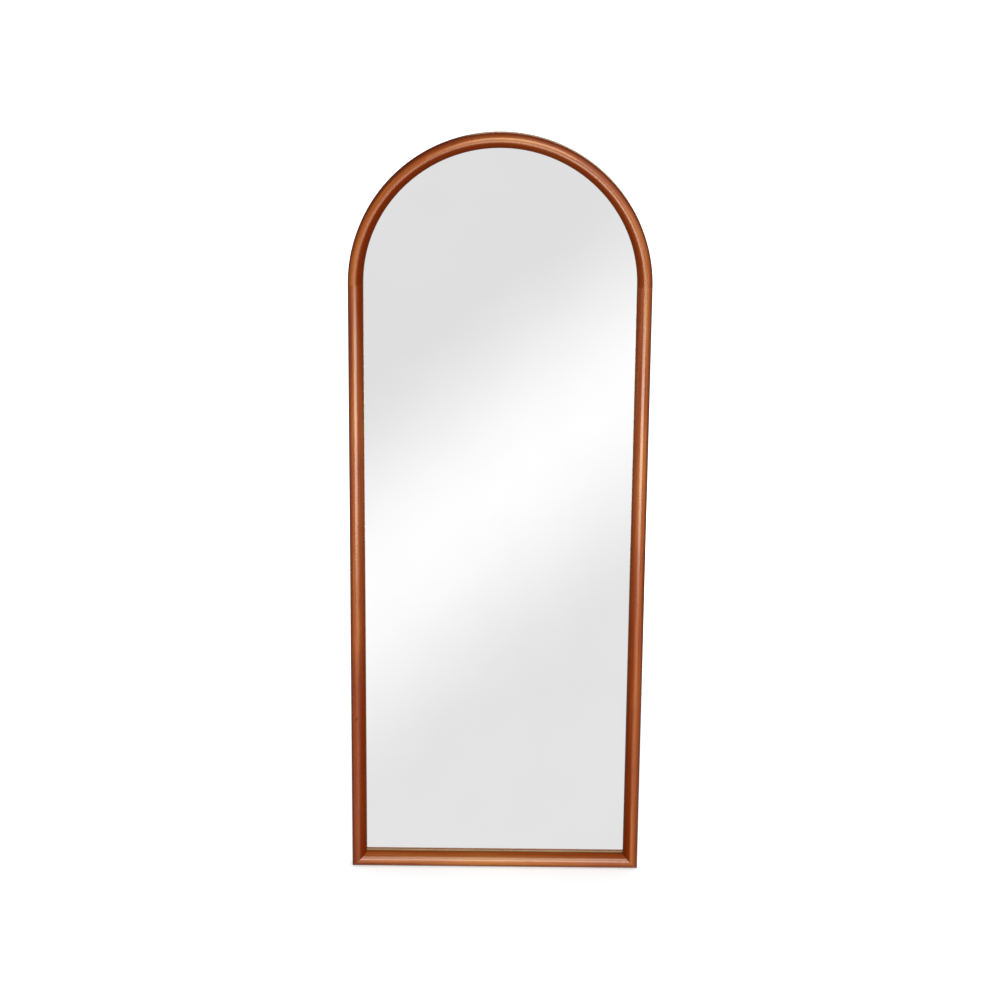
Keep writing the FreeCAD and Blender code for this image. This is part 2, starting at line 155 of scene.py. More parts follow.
def add(
    tree: Tree,
    kind: str,
    inputs: Mapping[Any, Any] | None = None,
    stops: Sequence[tuple[float, Colour]] = (),
    **settings: Any,
) -> Node:
    """Adds a node with its settings, its inputs and its links.

    Args:
        tree: the tree that gets the node.
        kind: the node's type name.
        inputs: by name or index, a value, an output socket, or a node that gives its first output in use.
        stops: the positions and colours of a colour ramp.
        settings: properties of the node.

    Returns:
        The new node.
    """
    node = tree.nodes.new(kind)
    for name, value in settings.items():
        setattr(node, name, value)
    for name, value in (inputs or {}).items():
        if isinstance(value, Node):
            value = next(socket for socket in value.outputs if socket.enabled)
        if isinstance(value, Socket):
            tree.links.new(value, node.inputs[name])
        else:
            node.inputs[name].default_value = value
    for index, (position, colour) in enumerate(stops):
        ramp = node.color_ramp.elements
        stop = ramp[index] if index < len(ramp) else ramp.new(position)
        stop.position = position
        stop.color = colour
    return node


def blank_tree(owner: bpy.types.Material | bpy.types.World) -> Tree:
    """Empties the node tree of a new material or world.

    Args:
        owner: the material or world.

    Returns:
        Its node tree.
    """
    owner.use_nodes = True
    owner.node_tree.nodes.clear()
    return owner.node_tree


def add_object(name: str, data: bpy.types.ID) -> bpy.types.Object:
    """Puts new object data into the scene.

    Args:
        name: the object's name.
        data: what the object holds.

    Returns:
        The new object, at the origin.
    """
    made = bpy.data.objects.new(name, data)
    bpy.context.scene.collection.objects.link(made)
    return made


def discard(*objects: bpy.types.Object) -> None:
    """Removes helper objects that only served to build others."""
    for helper in objects:
        bpy.data.objects.remove(helper)


def mesh_from(bm: bmesh.types.BMesh, name: str, sharp_deg: float = 35.0) -> bpy.types.Mesh:
    """Closes a bmesh into a smooth mesh whose faces point outwards.

    Args:
        bm: the bmesh, which is freed.
        name: the mesh's name.
        sharp_deg: edges that turn by more than this stay sharp.

    Returns:
        The new mesh.
    """
    bmesh.ops.recalc_face_normals(bm, faces=bm.faces)
    mesh = bpy.data.meshes.new(name)
    bm.to_mesh(mesh)
    bm.free()
    mesh.shade_smooth()
    mesh.set_sharp_from_angle(angle=math.radians(sharp_deg))
    return mesh


def applied(source: bpy.types.Object, name: str) -> bpy.types.Mesh:
    """Makes a plain mesh of what an object's modifiers give.

    Args:
        source: the object with its modifiers.
        name: the mesh's name.

    Returns:
        The new mesh, with every face in the first material slot.
    """
    graph = bpy.context.evaluated_depsgraph_get()
    bm = bmesh.new()
    bm.from_mesh(bpy.data.meshes.new_from_object(source.evaluated_get(graph), depsgraph=graph))
    for face in bm.faces:
        face.material_index = 0
    return mesh_from(bm, name)


def skinned(
    name: str, rings: Sequence[Sequence[Vector]], *finishes: "Finish", closed: bool = False
) -> bpy.types.Object:
    """Covers a run of equal rings of points with faces.

    Args:
        name: the object's name.
        rings: rings of points, each with as many points as the others. Points at one place become one.
        finishes: the finishes of its material slots.
        closed: True joins the last ring to the first, and False caps both.

    Returns:
        The new object, with a closed mesh.
    """
    bm = bmesh.new()
    made = [[bm.verts.new(point) for point in ring] for ring in rings]
    pairs = list(zip(made, made[1:]))
    if closed:
        pairs.append((made[-1], made[0]))
    else:
        bm.faces.new(made[0])
        bm.faces.new(made[-1])
    for ring, following in pairs:
        for i in range(len(ring)):
            j = (i + 1) % len(ring)
            bm.faces.new((ring[i], ring[j], following[j], following[i]))
    bmesh.ops.remove_doubles(bm, verts=bm.verts, dist=SAME_POINT)
    mesh = mesh_from(bm, name)
    for finish in finishes:
        mesh.materials.append(finish.material())
    return add_object(name, mesh)


def lathe(name: str, profile: Sequence[Range], segments: int) -> bpy.types.Object:
    """Turns a profile about the Y axis.

    Args:
        name: the object's name.
        profile: radius and height along Y, from the top pole to the bottom pole.
        segments: how many steps make a full turn.

    Returns:
        A helper object with a closed mesh.
    """
    angles = [2 * math.pi * i / segments for i in range(segments)]
    return skinned(
        name, [[Vector((r * math.cos(a), y, r * math.sin(a))) for a in angles] for r, y in profile]
    )


def rounded_loop(corners: Sequence[Corner], turn_deg: float = 5.0) -> list[Vector]:
    """Points of a closed outline with rounded corners.

    Args:
        corners: the corners in order, each with its radius.
        turn_deg: the most that the outline turns between two points of a round.

    Returns:
        The outline's points as 2-D vectors, with no point twice.
    """
    points: list[Vector] = []
    count = len(corners)
    for index, corner in enumerate(corners):
        here = Vector(corner[:2])
        back = (Vector(corners[index - 1][:2]) - here).normalized()
        ahead = (Vector(corners[(index + 1) % count][:2]) - here).normalized()
        if corner.radius == 0.0:
            points.append(here)
            continue
        half = back.angle(ahead) / 2
        centre = here + (back + ahead).normalized() * (corner.radius / math.sin(half))
        arm = here + back * (corner.radius / math.tan(half)) - centre
        sweep = math.copysign(math.pi - 2 * half, ahead.cross(back))
        steps = max(2, math.ceil(abs(math.degrees(sweep)) / turn_deg))
        points += [centre + Matrix.Rotation(sweep * i / steps, 2) @ arm for i in range(steps + 1)]
    return [p for i, p in enumerate(points) if (p - points[i - 1]).length > SAME_POINT]


def poly_curve(name: str, points: Sequence[Vector]) -> bpy.types.Object:
    """Holds a closed polyline for a node tree.

    Args:
        name: the object's name.
        points: the points that the line runs through.

    Returns:
        A helper object with the line.
    """
    curve = bpy.data.curves.new(name, "CURVE")
    curve.dimensions = "3D"
    spline = curve.splines.new("POLY")
    spline.points.add(len(points) - 1)
    for target, point in zip(spline.points, points):
        target.co = (*point.to_3d(), 1.0)
    spline.use_cyclic_u = True
    return add_object(name, curve)


def solid_boxes(node: str) -> list[Box]:
    """Boxes of the separate solids in a construction node.

    Args:
        node: the node's name.

    Returns:
        The lowest and highest corner of each solid.
    """
    bm = bmesh.new()
    bm.from_mesh(frame["nodes"][node].data)
    bmesh.ops.remove_doubles(bm, verts=bm.verts, dist=SAME_POINT)
    waiting = set(bm.verts)
    boxes: list[Box] = []
    while waiting:
        island = {waiting.pop()}
        edge_of = list(island)
        while edge_of:
            vertex = edge_of.pop()
            fresh = {e.other_vert(vertex) for e in vertex.link_edges} - island
            island |= fresh
            edge_of += fresh
        waiting -= island
        reach = [[vertex.co[axis] for vertex in island] for axis in range(3)]
        boxes.append((Vector(map(min, reach)), Vector(map(max, reach))))
    bm.free()
    return boxes


class NodeShape:
    """A Geometry Nodes tree with named inputs, and the plain meshes that it makes."""

    def __init__(self, name: str, inputs: Mapping[str, str]) -> None:
        """Starts a tree.

        Args:
            name: the tree's name.
            inputs: the kind of socket of each named input. One for the finish is added.
        """
        self.tree = bpy.data.node_groups.new(name, "GeometryNodeTree")
        self.keys: dict[str, str] = {}
        for label, kind in {**inputs, "Finish": "Material"}.items():
            socket = self.tree.interface.new_socket(label, in_out="INPUT", socket_type=f"NodeSocket{kind}")
            self.keys[label] = socket.identifier
        self.tree.interface.new_socket("Geometry", in_out="OUTPUT", socket_type="NodeSocketGeometry")
        self.inputs = self.tree.nodes.new("NodeGroupInput").outputs

    def add(self, kind: str, inputs: Mapping[Any, Any] | None = None, **settings: Any) -> Node:
        """Adds a node to the tree, as the function of that name does."""
        return add(self.tree, kind, inputs, **settings)

    def close(self, geometry: Node) -> None:
        """Ends the tree in plain geometry with its material.

        Args:
            geometry: the node that gives what the tree has made.
        """
        real = self.add("GeometryNodeRealizeInstances", {"Geometry": geometry})
        dressed = self.add("GeometryNodeSetMaterial", {"Geometry": real, "Material": self.inputs["Finish"]})
        self.add("NodeGroupOutput", {"Geometry": dressed})

    def make(self, name: str, finish: "Finish", values: Mapping[str, Any]) -> bpy.types.Object:
        """Evaluates the tree into an object with a plain mesh and no modifier.

        Args:
            name: the object's name.
            finish: the object's finish.
            values: a value for each of the other inputs.

        Returns:
            The object, at the origin, with outward faces and smooth shading.
        """
        made = add_object(name, bpy.data.meshes.new(name))
        modifier = made.modifiers.new(name, "NODES")
        modifier.node_group = self.tree
        for label, value in {**values, "Finish": finish.material()}.items():
            modifier[self.keys[label]] = value
        mesh = applied(made, name)
        made.modifiers.clear()
        made.data = mesh
        mesh.materials.append(finish.material())
        return made


# Finishes


@dataclass(frozen=True)
class Pattern:
    """A noise whose features have real sizes along the three axes."""

    size_mm: Triple
    detail: float = 3.0
    harshness: float = 0.5
    bend: float = 0.0
    turn: float = 0.0

    def lay(self, tree: Tree, place: Socket) -> Node:
        """Adds the pattern to a material.

        Args:
            tree: the material's node tree.
            place: the coordinates that the pattern follows, in metres.

        Returns:
            The node that gives the pattern.
        """
        sized = {"Vector": place, "Rotation": (0.0, self.turn, 0.0), "Scale": per_metre(*self.size_mm)}
        noise = {
            "Vector": add(tree, "ShaderNodeMapping", sized),
            "Scale": 1.0,
            "Detail": self.detail,
            "Roughness": self.harshness,
            "Distortion": self.bend,
        }
        return add(tree, "ShaderNodeTexNoise", noise)


@dataclass(frozen=True)
class Finish:
    """A surface as it was made: a named material that the subclasses paint."""

    name: str

    def material(self) -> bpy.types.Material:
        """Makes the finish's material when it is first asked for.

        Returns:
            The material.
        """
        found = bpy.data.materials.get(self.name)
        if found is not None:
            return found
        made = bpy.data.materials.new(self.name)
        tree = blank_tree(made)
        shader = add(tree, "ShaderNodeBsdfPrincipled", self.paint(tree))
        add(tree, "ShaderNodeOutputMaterial", {"Surface": shader})
        return made

    def paint(self, tree: Tree) -> dict[str, Any]:
        """Adds the nodes of the surface.

        Args:
            tree: the material's node tree.

        Returns:
            What goes into the shader's sockets.
        """
        raise NotImplementedError


@dataclass(frozen=True)
class LacqueredWood(Finish):
    """Stained hardwood under polished lacquer: red-brown streaks, a clear gloss, painted shade on the outer
    arris, and a sight edge darker with stain and painted shade.
    """

    name: str = "mahogany_stained_hardwood_gloss_lacquer"
    dark: str = "#8d3f18"
    middle: str = "#aa5c27"
    light: str = "#c07b39"
    shade: str = "#6a2206"
    pore: str = "#54220c"
    streaks: Pattern = Pattern((260.0, 5.0, 5.0), 5.0, 0.55)
    clouds: Pattern = Pattern((340.0, 60.0, 60.0), 2.0, 0.55)
    # Real pores are a third as wide: at that size none would show at a step's distance.
    pores: Pattern = Pattern((34.0, 1.5, 1.5), 1.0, 0.55)
    cloud_share: float = 0.45
    tone_reach: Triple = (0.34, 0.5, 0.66)
    # The darker tone towards the glass, partly stain and partly painted shade: where it begins, where it is
    # full and how strong it is.
    # Each has two values, for where that painted shade is lightest and for where it is deepest.
    shade_begins_mm: Range = (18.0, 14.0)
    shade_full_mm: Range = (28.0, 24.0)
    shade_share: Range = (0.52, 0.92)
    # Where the rubbing of the gloss begins and where the gloss is gone, again for the lightest and the
    # deepest painted shade.
    rub_begins_mm: Range = (28.0, 14.0)
    rub_full_mm: Range = (32.0, 21.0)
    # The painted shade on the outer arris, where the round turns away from the light: how far in it reaches,
    # and how strong it is.
    arris_shade_mm: float = 12.0
    arris_shade_share: float = 0.9
    pore_reach: Range = (0.6, 0.75)
    pore_share: float = 0.45
    knot_place_mm: Triple = (378.0, 14.0, 40.0)
    knot_size_mm: Triple = (7.0, 3.2, 3.2)
    knot_core: float = 0.35  # share of the knot that is darkest
    knot_share: float = 0.85
    rough: Range = (0.3, 0.5)
    relief: float = 0.12
    relief_mm: float = 0.15
    wood_gleam: float = 0.02  # how little the wood shines under its coat
    coat_rough: float = 0.2
    coat_ior: float = 1.6

    def by_shade_and_rub(self, tree: Tree, values: Range, unit: float = 1.0) -> Node:
        """A value that moves with how deep the painted shade and the rubbed gloss are.

        Args:
            tree: the material's node tree.
            values: the value where the painted shade is lightest, and where it is deepest.
            unit: what both values are multiplied by.

        Returns:
            The node that gives the value.
        """
        pool = add(tree, "ShaderNodeAttribute", attribute_name=SHADE_AND_RUB).outputs["Fac"]
        bare, full = (value * unit for value in values)
        return add(tree, "ShaderNodeMapRange", {"Value": pool, "To Min": bare, "To Max": full})

    def knot(self, tree: Tree, grain: Socket) -> Node:
        """One pin knot near the foot of the left stile.

        Args:
            tree: the material's node tree.
            grain: the grain's coordinates.

        Returns:
            The node that gives the knot's strength.
        """
        centre = tuple(place * MM for place in self.knot_place_mm)
        offset = add(tree, "ShaderNodeVectorMath", {0: grain, 1: centre}, operation="SUBTRACT")
        scale = per_metre(*self.knot_size_mm)
        sized = add(tree, "ShaderNodeVectorMath", {0: offset, 1: scale}, operation="MULTIPLY")
        away = add(tree, "ShaderNodeVectorMath", {0: sized}, operation="LENGTH")
        reach = {"Value": away, "From Min": 1.0, "From Max": self.knot_core, "To Max": self.knot_share}
        return add(tree, "ShaderNodeMapRange", reach, interpolation_type="SMOOTHSTEP")

    def paint(self, tree: Tree) -> dict[str, Any]:
        """Streaks, pores, a knot and painted shade on the grain's own coordinates, under a coat that thins at
        both edges.

        Args:
            tree: the material's node tree.

        Returns:
            What goes into the shader's sockets.
        """
        grain = add(tree, "ShaderNodeAttribute", attribute_name=GRAIN).outputs["Vector"]
        inset = add(tree, "ShaderNodeSeparateXYZ", {"Vector": grain}).outputs["Y"]
        streaks = self.streaks.lay(tree, grain)
        clouds = self.clouds.lay(tree, grain)
        pores = self.pores.lay(tree, grain)
        # Streaks and slow clouds together set the tone, lighter or darker as each member took the stain, with
        # painted shade towards the stiles' feet.
        mixed = {"Factor": self.cloud_share, "A": streaks, "B": clouds}
        blend = add(tree, "ShaderNodeMix", mixed, data_type="FLOAT")
        stain = add(tree, "ShaderNodeAttribute", attribute_name=STAIN_AND_SHADE).outputs["Fac"]
        taken = add(tree, "ShaderNodeMath", {0: blend, 1: stain}, operation="ADD")
        low, half, high = self.tone_reach
        stops = ((low, linear(self.dark)), (high, linear(self.light)), (half, linear(self.middle)))
        tone = add(tree, "ShaderNodeValToRGB", {"Fac": taken}, stops)
        # Painted shade darkens the outer arris, and towards the glass the tone darkens with stain and painted
        # shade, most where that painted shade is set deepest.
        glassward = {
            "Value": inset,
            "From Min": self.by_shade_and_rub(tree, self.shade_begins_mm, MM),
            "From Max": self.by_shade_and_rub(tree, self.shade_full_mm, MM),
            "To Max": self.by_shade_and_rub(tree, self.shade_share),
        }
        inner = add(tree, "ShaderNodeMapRange", glassward, interpolation_type="SMOOTHSTEP")
        arris = {"Value": inset, "From Min": self.arris_shade_mm * MM, "From Max": 0.0, "To Max": self.arris_shade_share}
        outer = add(tree, "ShaderNodeMapRange", arris, interpolation_type="SMOOTHSTEP")
        darker_stain_and_shade = add(tree, "ShaderNodeMath", {0: inner, 1: outer}, operation="MAXIMUM")
        # Open pores hold more stain and read as short dark dashes.
        begin, full = self.pore_reach
        open_pores = {"Value": pores, "From Min": begin, "From Max": full, "To Max": self.pore_share}
        dashes = add(tree, "ShaderNodeMapRange", open_pores)
        knot = self.knot(tree, grain)
        # The shade colour lays the painted shade and the darker stain, then the pores and the knot are mixed
        # in.
        for share, colour in ((darker_stain_and_shade, self.shade), (dashes, self.pore), (knot, self.pore)):
            tone = add(tree, "ShaderNodeMix", {"Factor": share, 6: tone, 7: linear(colour)}, data_type="RGBA")
        # The gloss is rubbed off along the sight edge, so no glint runs round the glass.
        # It is thin on the outer arris too.
        worn = {
            "Value": inset,
            "From Min": self.by_shade_and_rub(tree, self.rub_begins_mm, MM),
            "From Max": self.by_shade_and_rub(tree, self.rub_full_mm, MM),
        }
        rubbed = add(tree, "ShaderNodeMapRange", worn)
        thin = add(tree, "ShaderNodeMath", {0: rubbed, 1: outer}, operation="MAXIMUM")
        # The wood under the coat is satin, a little rougher in the pale streaks, with the pores as fine pits.
        smooth, rough = self.rough
        satin = {"Value": streaks, "To Min": smooth, "To Max": rough}
        pits = {"Strength": self.relief, "Distance": self.relief_mm * MM, "Height": pores}
        return {
            "Base Color": tone,
            "Roughness": add(tree, "ShaderNodeMapRange", satin),
            "Normal": add(tree, "ShaderNodeBump", pits),
            "Coat Weight": add(tree, "ShaderNodeMath", {0: 1.0, 1: thin}, operation="SUBTRACT"),
            "Coat Roughness": self.coat_rough,
            "Coat IOR": self.coat_ior,
            "Specular IOR Level": self.wood_gleam,
        }


@dataclass(frozen=True)
class BareWood(Finish):
    """Sealed but unstained hardwood on the back and in the rabbets: dull olive tan with darker streaks."""

    name: str = "sealed_bare_hardwood"
    pale: str = "#bda67c"
    stained: str = "#94784e"
    tone_reach: Range = (0.35, 0.65)
    streaks: Pattern = Pattern((140.0, 3.0, 3.0), 4.0)
    clouds: Pattern = Pattern((160.0, 30.0, 30.0), 4.0)
    cloud_share: float = 0.5
    rough: Range = (0.55, 0.8)
    relief: float = 0.3
    relief_mm: float = 0.2

    def paint(self, tree: Tree) -> dict[str, Any]:
        """Dull streaks along the grain with clouds of crept stain.

        Args:
            tree: the material's node tree.

        Returns:
            What goes into the shader's sockets.
        """
        grain = add(tree, "ShaderNodeAttribute", attribute_name=GRAIN).outputs["Vector"]
        streaks = self.streaks.lay(tree, grain)
        mixed = {"Factor": self.cloud_share, "A": streaks, "B": self.clouds.lay(tree, grain)}
        blend = add(tree, "ShaderNodeMix", mixed, data_type="FLOAT")
        stops = tuple(zip(self.tone_reach, (linear(self.stained), linear(self.pale))))
        smooth, rough = self.rough
        dull = {"Value": streaks, "To Min": smooth, "To Max": rough}
        furrows = {"Strength": self.relief, "Distance": self.relief_mm * MM, "Height": streaks}
        return {
            "Base Color": add(tree, "ShaderNodeValToRGB", {"Fac": blend}, stops),
            "Roughness": add(tree, "ShaderNodeMapRange", dull),
            "Normal": add(tree, "ShaderNodeBump", furrows),
        }


@dataclass(frozen=True)
class MarkedSurface(Finish):
    """Two drifting tones, finer marks in the polish and in relief, and flecks of a third tone."""

    low: str
    high: str
    tone_reach: Range
    drift: Pattern
    rough: Range
    marks: Pattern | None = None
    relief: float = 0.0
    relief_mm: float = 0.0
    metallic: float = 0.0
    fleck: str | None = None
    fleck_reach: Range = (0.5, 0.72)
    fleck_share: float = 0.0

    def paint(self, tree: Tree) -> dict[str, Any]:
        """Tones, flecks, polish and relief on the object's own coordinates.

        Args:
            tree: the material's node tree.

        Returns:
            What goes into the shader's sockets.
        """
        place = add(tree, "ShaderNodeTexCoord").outputs["Object"]
        drift = self.drift.lay(tree, place)
        marks = self.marks.lay(tree, place) if self.marks else drift
        stops = tuple(zip(self.tone_reach, (linear(self.low), linear(self.high))))
        tone = add(tree, "ShaderNodeValToRGB", {"Fac": drift}, stops)
        if self.fleck:
            begin, full = self.fleck_reach
            flecks = {"Value": marks, "From Min": begin, "From Max": full, "To Max": self.fleck_share}
            share = add(tree, "ShaderNodeMapRange", flecks)
            flecked = {"Factor": share, 6: tone, 7: linear(self.fleck)}
            tone = add(tree, "ShaderNodeMix", flecked, data_type="RGBA")
        smooth, rough = self.rough
        sockets = {
            "Base Color": tone,
            "Roughness": add(tree, "ShaderNodeMapRange", {"Value": marks, "To Min": smooth, "To Max": rough}),
            "Metallic": self.metallic,
        }
        if self.relief:
            raised = {"Strength": self.relief, "Distance": self.relief_mm * MM, "Height": marks}
            sockets["Normal"] = add(tree, "ShaderNodeBump", raised)
        return sockets


def mottled(
    name: str,
    tones: tuple[str, str, str],
    patch_mm: float,
    fleck_mm: Triple,
    fleck_share: float,
    rough: Range,
    relief_mm: float,
) -> MarkedSurface:
    """A sheet or moulding of two tones in patches, with flecks that also stand in relief.

    Args:
        name: the finish's name.
        tones: the dark and the light patches and the flecks.
        patch_mm: size of the patches.
        fleck_mm: size of the flecks along the three axes.
        fleck_share: how strongly the flecks show.
        rough: roughness between the flecks and on them.
        relief_mm: height of the flecks.

    Returns:
        The finish.
    """
    dark, light, fleck = tones
    return MarkedSurface(
        name,
        dark,
        light,
        tone_reach=(0.3, 0.7),
        drift=Pattern((patch_mm,) * 3, detail=4.0, harshness=0.6),
        rough=rough,
        marks=Pattern(fleck_mm, bend=1.2, turn=0.6),
        relief=0.4,
        relief_mm=relief_mm,
        fleck=fleck,
        fleck_share=fleck_share,
    )


# Polished lacquer over mahogany stain gives a deep red-brown with a clear gloss.
LACQUER = LacqueredWood()
# Sealed bare wood behind stays a dull olive tan.
BARE_WOOD = BareWood()
# Float glass with a silvered back is a bright, neutral mirror with the faintest haze of wiping.
MIRROR = MarkedSurface(
    "silvered_float_glass",
    "#ffffff",
    "#fcfdfc",
    (0.4, 0.7),
    Pattern((180.0, 180.0, 180.0)),
    (0.001, 0.003),
    metallic=1.0,
)
# The pane's ground edge is green-grey and matt, with grinding marks in two greens.
GLASS_EDGE = MarkedSurface(
    "ground_glass_edge", "#7fa08d", "#a9c0b2", (0.35, 0.7), Pattern((2.5, 2.5, 2.5)), (0.3, 0.5)
)
# Bright zinc plate on steel is a cool grey metal with cloudy patches, and drawing marks in its soft sheen.
ZINC = MarkedSurface(
    "bright_zinc_plated_steel",
    "#a3a8ab",
    "#d2d6d8",
    (0.35, 0.65),
    Pattern((4.0, 4.0, 4.0)),
    (0.22, 0.42),
    Pattern((0.5, 6.0, 6.0), detail=2.0),
    relief=0.1,
    relief_mm=0.05,
    metallic=1.0,
)
# Wet-pressed hardboard shows fibre bundles and a patchy brown.
HARDBOARD = mottled(
    "wet_pressed_hardboard", ("#7a5c3c", "#8c6c48", "#5e4429"), 160.0, (9.0, 9.0, 1.6), 0.45, (0.6, 0.8), 0.12
)
# The paint over the silver is an even grey-green with a faint orange peel.
BACK_PAINT = mottled(
    "mirror_back_paint", ("#5f6763", "#727a75", "#565d59"), 90.0, (3.0, 3.0, 3.0), 0.3, (0.45, 0.6), 0.05
)
# Steamed beech shows a pinkish tan and short darker flecks.
BEECH = mottled(
    "steamed_beech", ("#b98d63", "#cfa67b", "#8f6743"), 25.0, (1.2, 6.0, 6.0), 0.5, (0.5, 0.7), 0.08
)
# Closed-cell foam is a matt charcoal with fine open pores.
FOAM = mottled(
    "closed_cell_foam", ("#2f3032", "#3d3e40", "#1d1e1f"), 20.0, (1.2, 1.2, 1.2), 0.7, (0.85, 0.95), 0.2
)
# Setting blocks are firm moulded rubber, nearly black with a grey bloom.
BLOCK_RUBBER = mottled(
    "firm_moulded_rubber", ("#1f1f20", "#2c2c2d", "#38383a"), 18.0, (2.0, 2.0, 2.0), 0.3, (0.6, 0.75), 0.05
)
# Wall pads are soft moulded rubber, brown-black, with a slight bloom where they are handled.
PAD_RUBBER = mottled(
    "soft_moulded_rubber", ("#2b2522", "#3a322d", "#48403a"), 6.0, (1.0, 1.0, 1.0), 0.35, (0.55, 0.75), 0.06
)


# Pieces


def keep(piece: bpy.types.Object, body: Body, slot: Slot, node: str) -> None:
    """Ties a finished piece to its body, hides the node that it stands for, and reports it.

    Args:
        piece: the finished object.
        body: the body that carries it.
        slot: the record's slot that its finish belongs to; not used.
        node: the construction node that it replaces.
    """
    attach(piece, body.value)
    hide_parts(node)
    LOG.info("%s: %d faces on %s, for %s", piece.name, len(piece.data.polygons), body.value, node)


@dataclass(frozen=True)
class FrameSizes:
    """Sizes of the arched frame, read from the construction."""

    half_width: float
    springing: float
    face: float
    depth: float
    glass_level: float
    board_level: float
    board_inset: float
    glass_inset: float

    @classmethod
    def read(cls) -> "FrameSizes":
        """Reads the sizes off the boxes of the stile, the glass and the board.

        Returns:
            The sizes, in metres.
        """
        stile_low, stile_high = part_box("left_stile")
        glass_low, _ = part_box("mirror_glass")
        board_low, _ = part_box("backing_board")
        return cls(
            half_width=-stile_low.x,
            springing=stile_high.z,
            face=stile_high.x - stile_low.x,
            depth=-stile_low.y,
            glass_level=-glass_low.y,
            board_level=-board_low.y,
            board_inset=board_low.z,
            glass_inset=glass_low.z,
        )


@dataclass(frozen=True)
class Member:
    """A length of the moulding, how it took the stain from its first end to its last, partly with painted
    shade, and how deep its painted shade and rubbed gloss are at each end.
    """

    node: str
    length: float
    grain_start: float
    stain: Range
    shade_and_rub_ends: Range

    def values(self) -> dict[str, Any]:
        """What goes into the inputs that all members have."""
        return {
            "Length": self.length,
            "Grain start": self.grain_start,
            "First stain": self.stain[0],
            "Last stain": self.stain[1],
            "First pool": self.shade_and_rub_ends[0],
            "Last pool": self.shade_and_rub_ends[1],
        }


@dataclass(frozen=True)
class StraightMember(Member):
    """A stile or rail: where its outer edge runs, and how far each end is mitred."""

    start: Vector
    along: Vector
    inward: Vector
    mitres: Range

    def values(self) -> dict[str, Any]:
        """What goes into the inputs of a straight member."""
        return {
            **super().values(),
            "Start": self.start,
            "Along": self.along,
            "Inward": self.inward,
            "First mitre": self.mitres[0],
            "Last mitre": self.mitres[1],
        }


@dataclass(frozen=True)
class BentMember(Member):
    """A segment of the arch, from its first angle through its sweep."""

    centre: Vector
    radius: float
    first_angle: float
    sweep: float

    def values(self) -> dict[str, Any]:
        """What goes into the inputs of a bent member."""
        return {
            **super().values(),
            "Centre": self.centre,
            "Radius": self.radius,
            "First angle": self.first_angle,
            "Sweep": self.sweep,
        }


class Swept(NamedTuple):
    """A tree that has swept the section, and where each point lies on it: share along, inset and level."""

    shape: NodeShape
    geometry: Node
    share: Socket
    inset: Node
    level: Node


